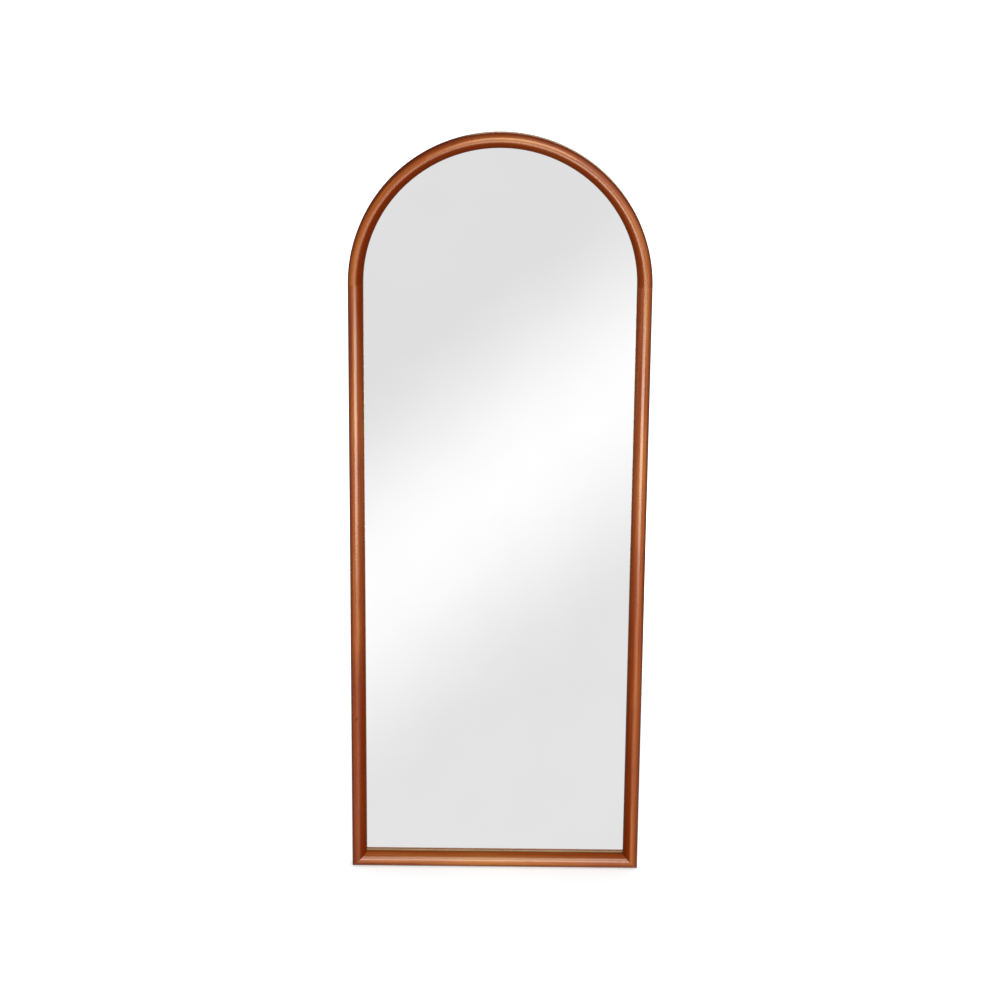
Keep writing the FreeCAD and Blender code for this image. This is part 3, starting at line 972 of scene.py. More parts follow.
@dataclass
class ArchedFrame:
    """The wooden frame: two stiles and a rail, mitred, and an arch of three segments, all of one moulding."""

    sizes: FrameSizes
    crest: float = 15.0 * MM  # inset of the moulding's highest line
    board_room: float = 0.5 * MM
    glass_room: float = 2.0 * MM
    arris: float = 0.8 * MM
    bare_strip: float = 4.0 * MM
    # Each end is eased, so that a fine V shows along the joints: where it starts, and its depth as a share.
    ease_back: float = 0.4 * MM
    ease_share: float = 0.007
    straight_stations: int = 40
    bent_stations: int = 56
    grain_step: float = 3.0
    # Where on a straight member the painted shade and rubbed gloss of the first end are gone, and those of
    # the last end begin.
    shade_and_rub_shares: Range = (0.62, 0.78)

    @property
    def board_edge(self) -> float:
        """How far in the wood reaches beside the board."""
        return self.sizes.board_inset - self.board_room

    def section(self) -> list[Corner]:
        """Corners of the moulding's section.

        Returns:
            The corners, as inset from the outer edge and level forward of the back.
        """
        s = self.sizes
        glass_edge = s.glass_inset - self.glass_room
        return [
            Corner(0.0, 0.0, self.arris),
            Corner(self.board_edge, 0.0, self.arris / 2),
            Corner(self.board_edge, s.board_level),
            Corner(glass_edge, s.board_level),
            Corner(glass_edge, s.glass_level),
            Corner(s.face, s.glass_level),
            Corner(s.face, s.glass_level + self.bare_strip),
            Corner(s.face, s.depth, s.face - self.crest),
            Corner(0.0, s.depth, self.crest),
        ]

    def straight_members(self) -> list[Member]:
        """The two stiles, mitred at the foot, and the rail, mitred at both ends.

        Returns:
            The members.
        """
        s = self.sizes
        left = ACROSS * -s.half_width
        right = ACROSS * s.half_width
        rise = s.springing
        width = 2 * s.half_width
        step = self.grain_step
        foot = (1.0, 0.0)
        both = (1.0, 1.0)
        # Each stile's first pair darkens its tone towards the foot, partly as the stain took and partly
        # painted shade where less light falls; its second pair deepens the painted shade towards the glass
        # and rubs the gloss, at the foot and at the head.
        return [
            StraightMember("left_stile", rise, 0.0, (-0.14, -0.05), (0.8, 0.65), left, UP, ACROSS, foot),
            StraightMember("right_stile", rise, step, (-0.07, 0.0), (1.0, 0.1), right, UP, -ACROSS, foot),
            StraightMember("bottom_rail", width, 2 * step, (-0.02, 0.03), (0.0, 0.0), left, ACROSS, UP, both),
        ]

    def bent_members(self) -> list[Member]:
        """The three segments of the arch, from the right springing to the left.

        Returns:
            The members, whose grain follows on the three straight ones.
        """
        s = self.sizes
        # Each segment's first pair is how it took the stain; its second pair deepens the painted shade
        # towards the glass inside the bend and rubs the gloss there, most from the crown to the left.
        tones = {
            "arch_right": ((-0.03, 0.0), (0.65, 0.8)),
            "arch_crown": ((0.0, -0.01), (0.8, 1.0)),
            "arch_left": ((0.01, -0.07), (1.0, 1.0)),
        }
        sweep = math.pi / len(tones)
        members: list[Member] = []
        for index, (node, (stain, shade_and_rub_ends)) in enumerate(tones.items()):
            grain_start = (len(tones) + index) * self.grain_step
            bend = (UP * s.springing, s.half_width, index * sweep, sweep)
            members.append(BentMember(node, sweep * s.half_width, grain_start, stain, shade_and_rub_ends, *bend))
        return members

    def eased_path(self, shape: NodeShape) -> Node:
        """A line of length 1 that is thinner at its very ends.

        Args:
            shape: the tree that gets the line.

        Returns:
            The node that gives the line.
        """
        stations = shape.inputs["Stations"]
        line = shape.add("GeometryNodeCurvePrimitiveLine", {"Start": (0, 0, 0), "End": ACROSS})
        path = shape.add("GeometryNodeResampleCurve", {"Curve": line, "Count": stations})
        # The outermost stations stand close together.
        setback = {0: self.ease_back, 1: shape.inputs["Length"]}
        first = shape.add("ShaderNodeMath", setback, operation="DIVIDE")
        spacing = {
            "Value": shape.add("GeometryNodeInputIndex"),
            "From Min": 1.0,
            "From Max": shape.add("ShaderNodeMath", {0: stations, 1: 2.0}, operation="SUBTRACT"),
            "To Min": first,
            "To Max": shape.add("ShaderNodeMath", {0: 1.0, 1: first}, operation="SUBTRACT"),
        }
        spaced = shape.add("ShaderNodeMapRange", spacing, clamp=False)
        held = shape.add("ShaderNodeClamp", {"Value": spaced})
        spot = shape.add("ShaderNodeCombineXYZ", {"X": held})
        path = shape.add("GeometryNodeSetPosition", {"Geometry": path, "Position": spot})
        ends = shape.add("GeometryNodeCurveEndpointSelection")
        eased = shape.add("ShaderNodeMath", {0: ends, 1: -self.ease_share, 2: 1.0}, operation="MULTIPLY_ADD")
        return shape.add("GeometryNodeSetCurveRadius", {"Curve": path, "Radius": eased})

    def swept(self, name: str, inputs: Mapping[str, str]) -> Swept:
        """Starts a tree that sweeps the section and marks its points with the grain and the stain.

        Args:
            name: the tree's name.
            inputs: the inputs that this kind of member adds.

        Returns:
            The tree and what it has so far.
        """
        numbers = ("Length", "Grain start", "First stain", "Last stain", "First pool", "Last pool")
        shared = {"Section": "Object", "Stations": "Int", **dict.fromkeys(numbers, "Float")}
        shape = NodeShape(name, {**shared, **inputs})
        section = shape.add("GeometryNodeObjectInfo", {"Object": shape.inputs["Section"]}).outputs["Geometry"]
        along = {"Curve": self.eased_path(shape), "Profile Curve": section, "Fill Caps": True}
        marked = shape.add("GeometryNodeCurveToMesh", along)
        # Along a line in +X a section's x comes out along -Y and its y along -Z.
        place = shape.add("ShaderNodeSeparateXYZ", {0: shape.add("GeometryNodeInputPosition")}).outputs
        inset = shape.add("ShaderNodeMath", {0: place["Y"], 1: -1.0}, operation="MULTIPLY")
        level = shape.add("ShaderNodeMath", {0: place["Z"], 1: -1.0}, operation="MULTIPLY")
        distance = {0: place["X"], 1: shape.inputs["Length"], 2: shape.inputs["Grain start"]}
        run = shape.add("ShaderNodeMath", distance, operation="MULTIPLY_ADD")
        grain = shape.add("ShaderNodeCombineXYZ", {"X": run, "Y": inset, "Z": level})
        taken = {"Factor": place["X"], "A": shape.inputs["First stain"], "B": shape.inputs["Last stain"]}
        stain = shape.add("ShaderNodeMix", taken, data_type="FLOAT")
        for label, value, kind in ((GRAIN, grain, "FLOAT_VECTOR"), (STAIN_AND_SHADE, stain, "FLOAT")):
            marked = shape.add(
                "GeometryNodeStoreNamedAttribute",
                {"Geometry": marked, "Name": label, "Value": value},
                data_type=kind,
                domain="POINT",
            )
        return Swept(shape, marked, place["X"], inset, level)

    def settled(self, at: Swept, pool: Node, moved: Node) -> NodeShape:
        """Marks how deep the painted shade and the rubbed gloss are, moves each point to its place and ends
        the tree.

        Args:
            at: the tree and what it has so far.
            pool: how deep the painted shade and the rubbed gloss are.
            moved: the place of each point.

        Returns:
            The finished tree.
        """
        shape = at.shape
        shade_marked = shape.add(
            "GeometryNodeStoreNamedAttribute",
            {"Geometry": at.geometry, "Name": SHADE_AND_RUB, "Value": pool},
            data_type="FLOAT",
            domain="POINT",
        )
        shape.close(shape.add("GeometryNodeSetPosition", {"Geometry": shade_marked, "Position": moved}))
        return shape

    def straight_shape(self) -> NodeShape:
        """The tree of a straight member, whose ends run back along the mitres.

        Returns:
            The tree.
        """
        vectors = dict.fromkeys(("Start", "Along", "Inward"), "Vector")
        at = self.swept("straight_moulding", {**vectors, "First mitre": "Float", "Last mitre": "Float"})
        shape = at.shape
        # Distance along the member: the first end's mitre, then a share of what both mitres leave.
        first, last = (
            shape.add("ShaderNodeMath", {0: at.inset, 1: shape.inputs[mitre]}, operation="MULTIPLY")
            for mitre in ("First mitre", "Last mitre")
        )
        taken = shape.add("ShaderNodeMath", {0: first, 1: last}, operation="ADD")
        left = shape.add("ShaderNodeMath", {0: shape.inputs["Length"], 1: taken}, operation="SUBTRACT")
        run = shape.add("ShaderNodeMath", {0: at.share, 1: left, 2: first}, operation="MULTIPLY_ADD")
        moved = shape.inputs["Start"]
        for direction, distance in (
            (shape.inputs["Along"], run),
            (shape.inputs["Inward"], at.inset),
            (FORWARD, at.level),
        ):
            arm = shape.add("ShaderNodeVectorMath", {0: direction, "Scale": distance}, operation="SCALE")
            moved = shape.add("ShaderNodeVectorMath", {0: moved, 1: arm}, operation="ADD")
        # Painted shade and rubbed gloss are deepest at the ends: their share dies away up to the middle and
        # comes back near the far end.
        gone, back = self.shade_and_rub_shares
        fading = {"Value": at.share, "From Max": gone, "To Min": shape.inputs["First pool"], "To Max": 0.0}
        returning = {
            "Value": at.share,
            "From Min": back,
            "To Min": shape.add("ShaderNodeMapRange", fading),
            "To Max": shape.inputs["Last pool"],
        }
        return self.settled(at, shape.add("ShaderNodeMapRange", returning), moved)

    def bent_shape(self) -> NodeShape:
        """The tree of an arch segment, which turns about the arch's centre.

        Returns:
            The tree.
        """
        numbers = dict.fromkeys(("Radius", "First angle", "Sweep"), "Float")
        at = self.swept("bent_moulding", {"Centre": "Vector", **numbers})
        shape = at.shape
        turned = {0: at.share, 1: shape.inputs["Sweep"], 2: shape.inputs["First angle"]}
        angle = shape.add("ShaderNodeMath", turned, operation="MULTIPLY_ADD")
        radius = shape.add("ShaderNodeMath", {0: shape.inputs["Radius"], 1: at.inset}, operation="SUBTRACT")
        aside = shape.add("ShaderNodeMath", {0: angle}, operation="COSINE")
        height = shape.add("ShaderNodeMath", {0: angle}, operation="SINE")
        arm = {
            "X": shape.add("ShaderNodeMath", {0: aside, 1: radius}, operation="MULTIPLY"),
            "Y": shape.add("ShaderNodeMath", {0: at.level, 1: FORWARD.y}, operation="MULTIPLY"),
            "Z": shape.add("ShaderNodeMath", {0: height, 1: radius}, operation="MULTIPLY"),
        }
        reach = {0: shape.inputs["Centre"], 1: shape.add("ShaderNodeCombineXYZ", arm)}
        moved = shape.add("ShaderNodeVectorMath", reach, operation="ADD")
        # Inside the bend the painted shade and the rubbed gloss change evenly from one end of the segment to
        # the other.
        shade_and_rub_ends = {"Value": at.share, "To Min": shape.inputs["First pool"], "To Max": shape.inputs["Last pool"]}
        return self.settled(at, shape.add("ShaderNodeMapRange", shade_and_rub_ends), moved)

    def strip_lacquer(self, mesh: bpy.types.Mesh) -> None:
        """Leaves the back, the rabbets, the foot of the sight edge and the joint faces bare.

        Args:
            mesh: a member's mesh, with its lacquer in the first material.
        """
        mesh.materials.append(BARE_WOOD.material())
        grain = mesh.attributes[GRAIN].data
        strip_top = self.sizes.glass_level + self.bare_strip
        # Only the joint faces have more than four corners.
        for face in mesh.polygons:
            corners = [grain[index].vector for index in face.vertices]
            inset = sum(c.y for c in corners) / len(corners)
            level = sum(c.z for c in corners) / len(corners)
            in_rabbet = inset > self.board_edge - self.arris and level < strip_top
            if len(corners) > 4 or level < self.arris / 4 or in_rabbet:
                face.material_index = 1

    def build(self) -> None:
        """Sweeps the six members and puts them in place of their nodes."""
        section = poly_curve("moulding_section", rounded_loop(self.section()))
        for shape, stations, members in (
            (self.straight_shape(), self.straight_stations, self.straight_members()),
            (self.bent_shape(), self.bent_stations, self.bent_members()),
        ):
            for member in members:
                values = {"Section": section, "Stations": stations, **member.values()}
                piece = shape.make(f"{member.node}_moulding", LACQUER, values)
                self.strip_lacquer(piece.data)
                keep(piece, Body.FRAME, Slot.WOOD, member.node)
        discard(section)


@dataclass
class MirrorPane:
    """The silvered pane with its seamed edge, behind the sight edge, and the tape that presses it."""

    sizes: FrameSizes
    seam: float = 0.5 * MM
    flat: float = 0.99  # faces that point this much along Y are the front or the back
    tape_width: float = 8.0 * MM
    tape_steps: int = 12
    # Powers that square the tape's oval off, across it and through it.
    tape_powers: Range = (0.2, 0.5)
    arc_steps: int = 96

    def outline(self, inset: float, level: float) -> list[Vector]:
        """Points of the pane's arched outline.

        Args:
            inset: distance in from the frame's outer edge.
            level: distance forward of the frame's back.

        Returns:
            The points, from the left foot round the arch to the right foot.
        """
        s = self.sizes
        radius = s.half_width - inset
        centre = UP * s.springing + FORWARD * level
        turns = [math.pi * (1 - i / self.arc_steps) for i in range(self.arc_steps + 1)]
        arch = [centre + Vector((radius * math.cos(a), 0.0, radius * math.sin(a))) for a in turns]
        foot = UP * inset + FORWARD * level
        return [foot - ACROSS * radius, *arch, foot + ACROSS * radius]

    def build_tape(self) -> None:
        """Lays the foam tape round the back of the pane, squeezed to a flat oval."""
        low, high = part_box("cushion_tape")
        half_width = self.tape_width / 2
        half_depth = (high.y - low.y) / 2
        middle = low.z + half_width
        level = -(low.y + high.y) / 2
        across, through = self.tape_powers
        turns = [2 * math.pi * i / self.tape_steps for i in range(self.tape_steps)]
        # The oval is flat where the glass and the board press it, and round at both edges.
        rings = [
            self.outline(
                middle + bulged(math.cos(a), across) * half_width,
                level + bulged(math.sin(a), through) * half_depth,
            )
            for a in turns
        ]
        tape = skinned("foam_tape", rings, FOAM, closed=True)
        keep(tape, Body.FRAME, Slot.FOAM, "cushion_tape")

    def build(self) -> bpy.types.Object:
        """Makes the pane from four outlines and dresses its front, edge and back.

        Returns:
            The pane.
        """
        s = self.sizes
        back = -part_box("mirror_glass")[1].y
        rings = [
            self.outline(s.glass_inset + self.seam, s.glass_level),
            self.outline(s.glass_inset, s.glass_level - self.seam),
            self.outline(s.glass_inset, back + self.seam),
            self.outline(s.glass_inset + self.seam, back),
        ]
        pane = skinned("mirror_pane", rings, MIRROR, GLASS_EDGE, BACK_PAINT)
        for face in pane.data.polygons:
            facing = face.normal.dot(FORWARD)
            face.material_index = 0 if facing > self.flat else 2 if facing < -self.flat else 1
        keep(pane, Body.FRAME, Slot.GLASS, "mirror_glass")
        self.build_tape()
        return pane


@dataclass(frozen=True)
class ScrewSizes:
    """Sizes of a pan-head wood screw with a cross recess."""

    head_radius: float
    head_height: float
    shank_radius: float
    length: float
    rim: float
    recess_span: float
    recess_width: float
    recess_depth: float
    pitch: float = 1.2 * MM
    root_share: float = 0.72
    point_radii: float = 2.5
    # How much narrower the recess is at its floor, and how much wider far above the head.
    recess_taper: Range = (0.7, 1.3)


BOARD_SCREW = ScrewSizes(3.0 * MM, 1.8 * MM, 1.5 * MM, 12.0 * MM, 0.5 * MM, 3.6 * MM, 1.0 * MM, 1.1 * MM)
HANGER_SCREW = ScrewSizes(3.5 * MM, 2.2 * MM, 2.0 * MM, 20.0 * MM, 0.6 * MM, 4.2 * MM, 1.1 * MM, 1.3 * MM)


@dataclass(frozen=True)
class PadSizes:
    """Sizes of a wall pad, a tapered bumper with a rounded rim and a dimple."""

    taper: float = 1.5 * MM
    rim_round: float = 1.4 * MM
    dimple_share: float = 0.45
    # The dimple's profile: shares of its radius, and depths.
    dimple: tuple[Range, ...] = ((0.0, 0.9 * MM), (0.7, 0.75 * MM), (1.0, 0.3 * MM))
    lip: float = 0.5 * MM
    # The foot's profile: in from the base, and up.
    foot: tuple[Range, ...] = ((0.2 * MM, 0.5 * MM), (0.0, 0.25 * MM), (0.0, 0.0))


@dataclass
class Fasteners:
    """Screws and pads that repeat: one master each, set out by Geometry Nodes at the solids' places."""

    seed: int = 7
    most_turn: float = math.pi / 2
    screw_segments: int = 28
    pad_segments: int = 36
    dome_steps: int = 6
    pads: PadSizes = PadSizes()

    def screw(self, sizes: ScrewSizes) -> bpy.types.Object:
        """Makes a screw about Y, with its seat at the origin and its head towards +Y.

        Args:
            sizes: the screw's sizes.

        Returns:
            A helper object with the screw's mesh.
        """
        crown = sizes.head_height - sizes.rim
        dome = [math.pi / 2 * (1 - i / self.dome_steps) for i in range(self.dome_steps + 1)]
        profile = [(sizes.head_radius * math.cos(a), sizes.rim + crown * math.sin(a)) for a in dome]
        profile += [(sizes.head_radius, 0.0), (sizes.shank_radius, 0.0)]
        root = sizes.shank_radius * sizes.root_share
        point = sizes.length - sizes.point_radii * sizes.shank_radius
        threads = int((point - sizes.shank_radius) / sizes.pitch)
        for turn in range(threads):
            depth = sizes.shank_radius + turn * sizes.pitch
            profile += [(root, -depth), (sizes.shank_radius, -depth - sizes.pitch / 2)]
        profile += [(root, -point), (0.0, -sizes.length)]
        blank = lathe("screw_blank", profile, self.screw_segments)
        cutter = self.cross_cutter(sizes)
        cut = blank.modifiers.new("recess", "BOOLEAN")
        cut.object = cutter
        cut.solver = "EXACT"
        master = add_object("screw_master", applied(blank, "screw_master"))
        discard(blank, cutter)
        return master

    def cross_cutter(self, sizes: ScrewSizes) -> bpy.types.Object:
        """A tapered cross that cuts the driver's recess.

        Args:
            sizes: the screw's sizes.

        Returns:
            A helper object above the screw's head.
        """
        half_width = sizes.recess_width / 2
        half_span = sizes.recess_span / 2
        quarter = [(half_span, -half_width), (half_span, half_width), (half_width, half_width)]
        turns = [Matrix.Rotation(math.pi / 2 * i, 2) for i in range(4)]
        cross = [turn @ Vector(point) for turn in turns for point in quarter]
        heights = (sizes.head_height - sizes.recess_depth, sizes.head_height + sizes.recess_depth)
        rings = [
            [Vector((p.x * share, height, p.y * share)) for p in cross]
            for height, share in zip(heights, sizes.recess_taper)
        ]
        return skinned("recess_cutter", rings)

    def pad(self, box: Box) -> bpy.types.Object:
        """Makes a wall pad about Y, with its base at the origin.

        Args:
            box: the lowest and highest corner of one pad.

        Returns:
            A helper object with the pad's mesh.
        """
        sizes = self.pads
        height = box[1].y - box[0].y
        base = (box[1].x - box[0].x) / 2
        rim = base - sizes.taper
        soft = sizes.rim_round
        dimple = sizes.dimple_share * rim
        profile = [(dimple * share, height - depth) for share, depth in sizes.dimple]
        profile += [(dimple + sizes.lip, height)]
        quarter = [math.pi / 2 * i / self.dome_steps for i in range(self.dome_steps + 1)]
        profile += [(rim - soft + soft * math.sin(a), height - soft + soft * math.cos(a)) for a in quarter]
        profile += [(base - inward, up) for inward, up in sizes.foot]
        profile += [(0.0, 0.0)]
        return lathe("pad_master", profile, self.pad_segments)

    def scatter_shape(self) -> NodeShape:
        """The tree that sets a master out at the points of a helper mesh, each turned by its own angle.

        Returns:
            The tree.
        """
        kinds = {"Places": "Object", "Master": "Object", "Most turn": "Float", "Seed": "Int"}
        shape = NodeShape("set_out", kinds)
        places = shape.add("GeometryNodeObjectInfo", {"Object": shape.inputs["Places"]})
        master = shape.add("GeometryNodeObjectInfo", {"Object": shape.inputs["Master"], "As Instance": True})
        angles = {2: 0.0, 3: shape.inputs["Most turn"], "Seed": shape.inputs["Seed"]}
        turn = shape.add("FunctionNodeRandomValue", angles, data_type="FLOAT")
        copies = {
            "Points": places.outputs["Geometry"],
            "Instance": master.outputs["Geometry"],
            "Rotation": shape.add("ShaderNodeCombineXYZ", {"Y": turn}),
        }
        shape.close(shape.add("GeometryNodeInstanceOnPoints", copies))
        return shape

    def set_out(
        self,
        shape: NodeShape,
        node: str,
        master: bpy.types.Object,
        places: Sequence[Vector],
        finish: Finish,
        slot: Slot,
    ) -> None:
        """Sets a master out at these places as one piece, in place of its node.

        Args:
            shape: the tree that sets out.
            node: the construction node that the piece stands for.
            master: the helper object to repeat, which is removed.
            places: where each copy's origin goes.
            finish: the piece's finish.
            slot: the record's slot of that finish.
        """
        # Rows from the foot up and each from left to right, so that every copy keeps its turn.
        ordered = sorted(places, key=lambda place: (round(place.z, 4), round(place.x, 4)))
        cloud = bpy.data.meshes.new(f"{node}_places")
        cloud.from_pydata([tuple(place) for place in ordered], [], [])
        marks = add_object(f"{node}_places", cloud)
        values = {"Places": marks, "Master": master, "Most turn": self.most_turn, "Seed": self.seed}
        piece = shape.make(f"{node}_set", finish, values)
        discard(marks, master)
        keep(piece, Body.FRAME, slot, node)

    def build(self) -> None:
        """Sets out the board's screws, the hangers' screws and the wall pads."""
        shape = self.scatter_shape()
        for node, sizes in (("board_screws", BOARD_SCREW), ("hanger_screws", HANGER_SCREW)):
            seats = [
                Vector(((low.x + high.x) / 2, high.y - sizes.head_height, (low.z + high.z) / 2))
                for low, high in solid_boxes(node)
            ]
            self.set_out(shape, node, self.screw(sizes), seats, ZINC, Slot.STEEL)
        boxes = solid_boxes("wall_pads")
        bases = [Vector(((low.x + high.x) / 2, low.y, (low.z + high.z) / 2)) for low, high in boxes]
        self.set_out(shape, "wall_pads", self.pad(boxes[0]), bases, PAD_RUBBER, Slot.PAD)


@dataclass
class Hanger:
    """A folded strap on the back of a stile, and the wire ring that swings in its eye."""

    side: Side
    gauge: float = 1.2 * MM
    # The leaves are pressed together, a hair apart.
    fold_gap: float = 0.02 * MM
    edge: float = 0.18 * MM
    end_round: float = 3.0 * MM
    end_steps: int = 6
    eye_steps: int = 36
    leave_deg: float = -50.0
    wire_radius: float = 1.5 * MM
    wire_segments: int = 20
    ring_half_width: float = 8.0 * MM
    ring_bend: float = 2.5 * MM
    ring_drop: float = 13.0 * MM
    ring_tilt_deg: float = 7.25
    bend_step_deg: float = 7.5

    @property
    def name(self) -> str:
        """The side's name, as the nodes begin."""
        return self.side.name.lower()

    def axis(self) -> Vector:
        """Where the ring's hinge lies, from the construction's joint."""
        joint = next(j for j in frame["joints"] if j["name"] == f"{self.name}_ring_swing")
        return Vector(joint["pos_m"])

    def strap_path(self, foot: float) -> list[tuple[Vector, float]]:
        """The folded strip's middle line, up the wood, round the eye and down again.

        Args:
            foot: height of the strap's lower end.

        Returns:
            Points of the line, and how much the strip is narrowed on each side there.
        """
        axis = self.axis()
        radius = axis.y - self.gauge / 2
        centre = Vector((0.0, axis.y, axis.z))
        quarter = [math.pi / 2 * i / self.end_steps for i in range(self.end_steps + 1)]
        ends = [self.end_round * (1 - math.cos(a)) for a in quarter]
        narrow = [self.end_round - math.sqrt(self.end_round**2 - (self.end_round - d) ** 2) for d in ends]
        inner = [(Vector((0.0, self.gauge / 2, foot + d)), n) for d, n in zip(ends, narrow)]
        step = (self.leave_deg - 180) / self.eye_steps
        turns = [math.radians(180 + step * i) for i in range(self.eye_steps + 1)]
        eye = [(centre + Vector((0.0, radius * math.cos(a), radius * math.sin(a))), 0.0) for a in turns]
        last = eye[-1][0]
        slope = Vector((0.0, math.sin(turns[-1]), -math.cos(turns[-1])))
        leaf = 1.5 * self.gauge + self.fold_gap
        neck = last + slope * ((last.y - leaf) / -slope.y)
        outer = [(Vector((0.0, leaf, foot + d)), n) for d, n in zip(ends, narrow)]
        return [*inner, *eye, (neck, 0.0), *reversed(outer)]

    def build_strap(self) -> None:
        """Makes the strap as one folded strip with eased edges."""
        node = f"{self.name}_hanger_strap"
        low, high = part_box(node)
        middle = (low.x + high.x) / 2
        half_width = (high.x - low.x) / 2
        half = self.gauge / 2
        path = self.strap_path(low.z)
        points = [point for point, _ in path]
        rings = []
        for index, (point, narrow) in enumerate(path):
            before = points[max(index - 1, 0)]
            after = points[min(index + 1, len(points) - 1)]
            normal = (after - before).normalized().cross(ACROSS)
            wide = half_width - narrow
            flank = [(wide, half - self.edge), (wide - self.edge, half)]
            upper = flank + [(-x, h) for x, h in reversed(flank)]
            section = upper + [(-x, -h) for x, h in upper]
            rings.append([point + ACROSS * (middle + x) + normal * h for x, h in section])
        keep(skinned(f"{self.name}_folded_strap", rings, ZINC), Body.FRAME, Slot.STEEL, node)

    def wire_shape(self) -> NodeShape:
        """The tree that draws a round wire along a closed path.

        Returns:
            The tree.
        """
        shape = NodeShape("bent_wire", {"Path": "Object", "Wire radius": "Float", "Segments": "Int"})
        path = shape.add("GeometryNodeObjectInfo", {"Object": shape.inputs["Path"]}).outputs["Geometry"]
        circle = {"Resolution": shape.inputs["Segments"], "Radius": shape.inputs["Wire radius"]}
        section = shape.add("GeometryNodeCurvePrimitiveCircle", circle)
        shape.close(shape.add("GeometryNodeCurveToMesh", {"Curve": path, "Profile Curve": section}))
        return shape

    def build_ring(self) -> None:
        """Bends the wire into a ring that hangs from the eye, tilted clear of the wood."""
        axis = self.axis()
        tilt = math.radians(self.ring_tilt_deg)
        down = Vector((0.0, math.sin(tilt), -math.cos(tilt)))
        wide = self.ring_half_width
        corners = [
            Corner(-wide, 0.0, self.ring_bend),
            Corner(wide, 0.0, self.ring_bend),
            Corner(wide, self.ring_drop, wide),
            Corner(-wide, self.ring_drop, wide),
        ]
        outline = rounded_loop(corners, self.bend_step_deg)
        path = poly_curve("ring_path", [axis + ACROSS * p.x + down * p.y for p in outline])
        values = {"Path": path, "Wire radius": self.wire_radius, "Segments": self.wire_segments}
        ring = self.wire_shape().make(f"{self.name}_wire_ring", ZINC, values)
        discard(path)
        keep(ring, self.side.value, Slot.STEEL, f"{self.name}_hanger_ring")

    def build(self) -> None:
        """Makes the strap and the ring."""
        self.build_strap()
        self.build_ring()


@dataclass
class HiddenParts:
    """Pieces inside and behind the frame that keep their construction shape and get a finish."""

    finishes: dict[str, Finish] = field(
        default_factory=lambda: {
            "backing_board": HARDBOARD,
            "setting_blocks": BLOCK_RUBBER,
            "arch_dowels": BEECH,
            "mitre_keys": BEECH,
            "corner_nails": ZINC,
        }
    )

    def build(self) -> None:
        """Dresses each node and reports it."""
        for node, finish in self.finishes.items():
            materials = frame["nodes"][node].data.materials
            materials.clear()
            materials.append(finish.material())
            LOG.info("%s: %s", node, finish.name)


# Studio


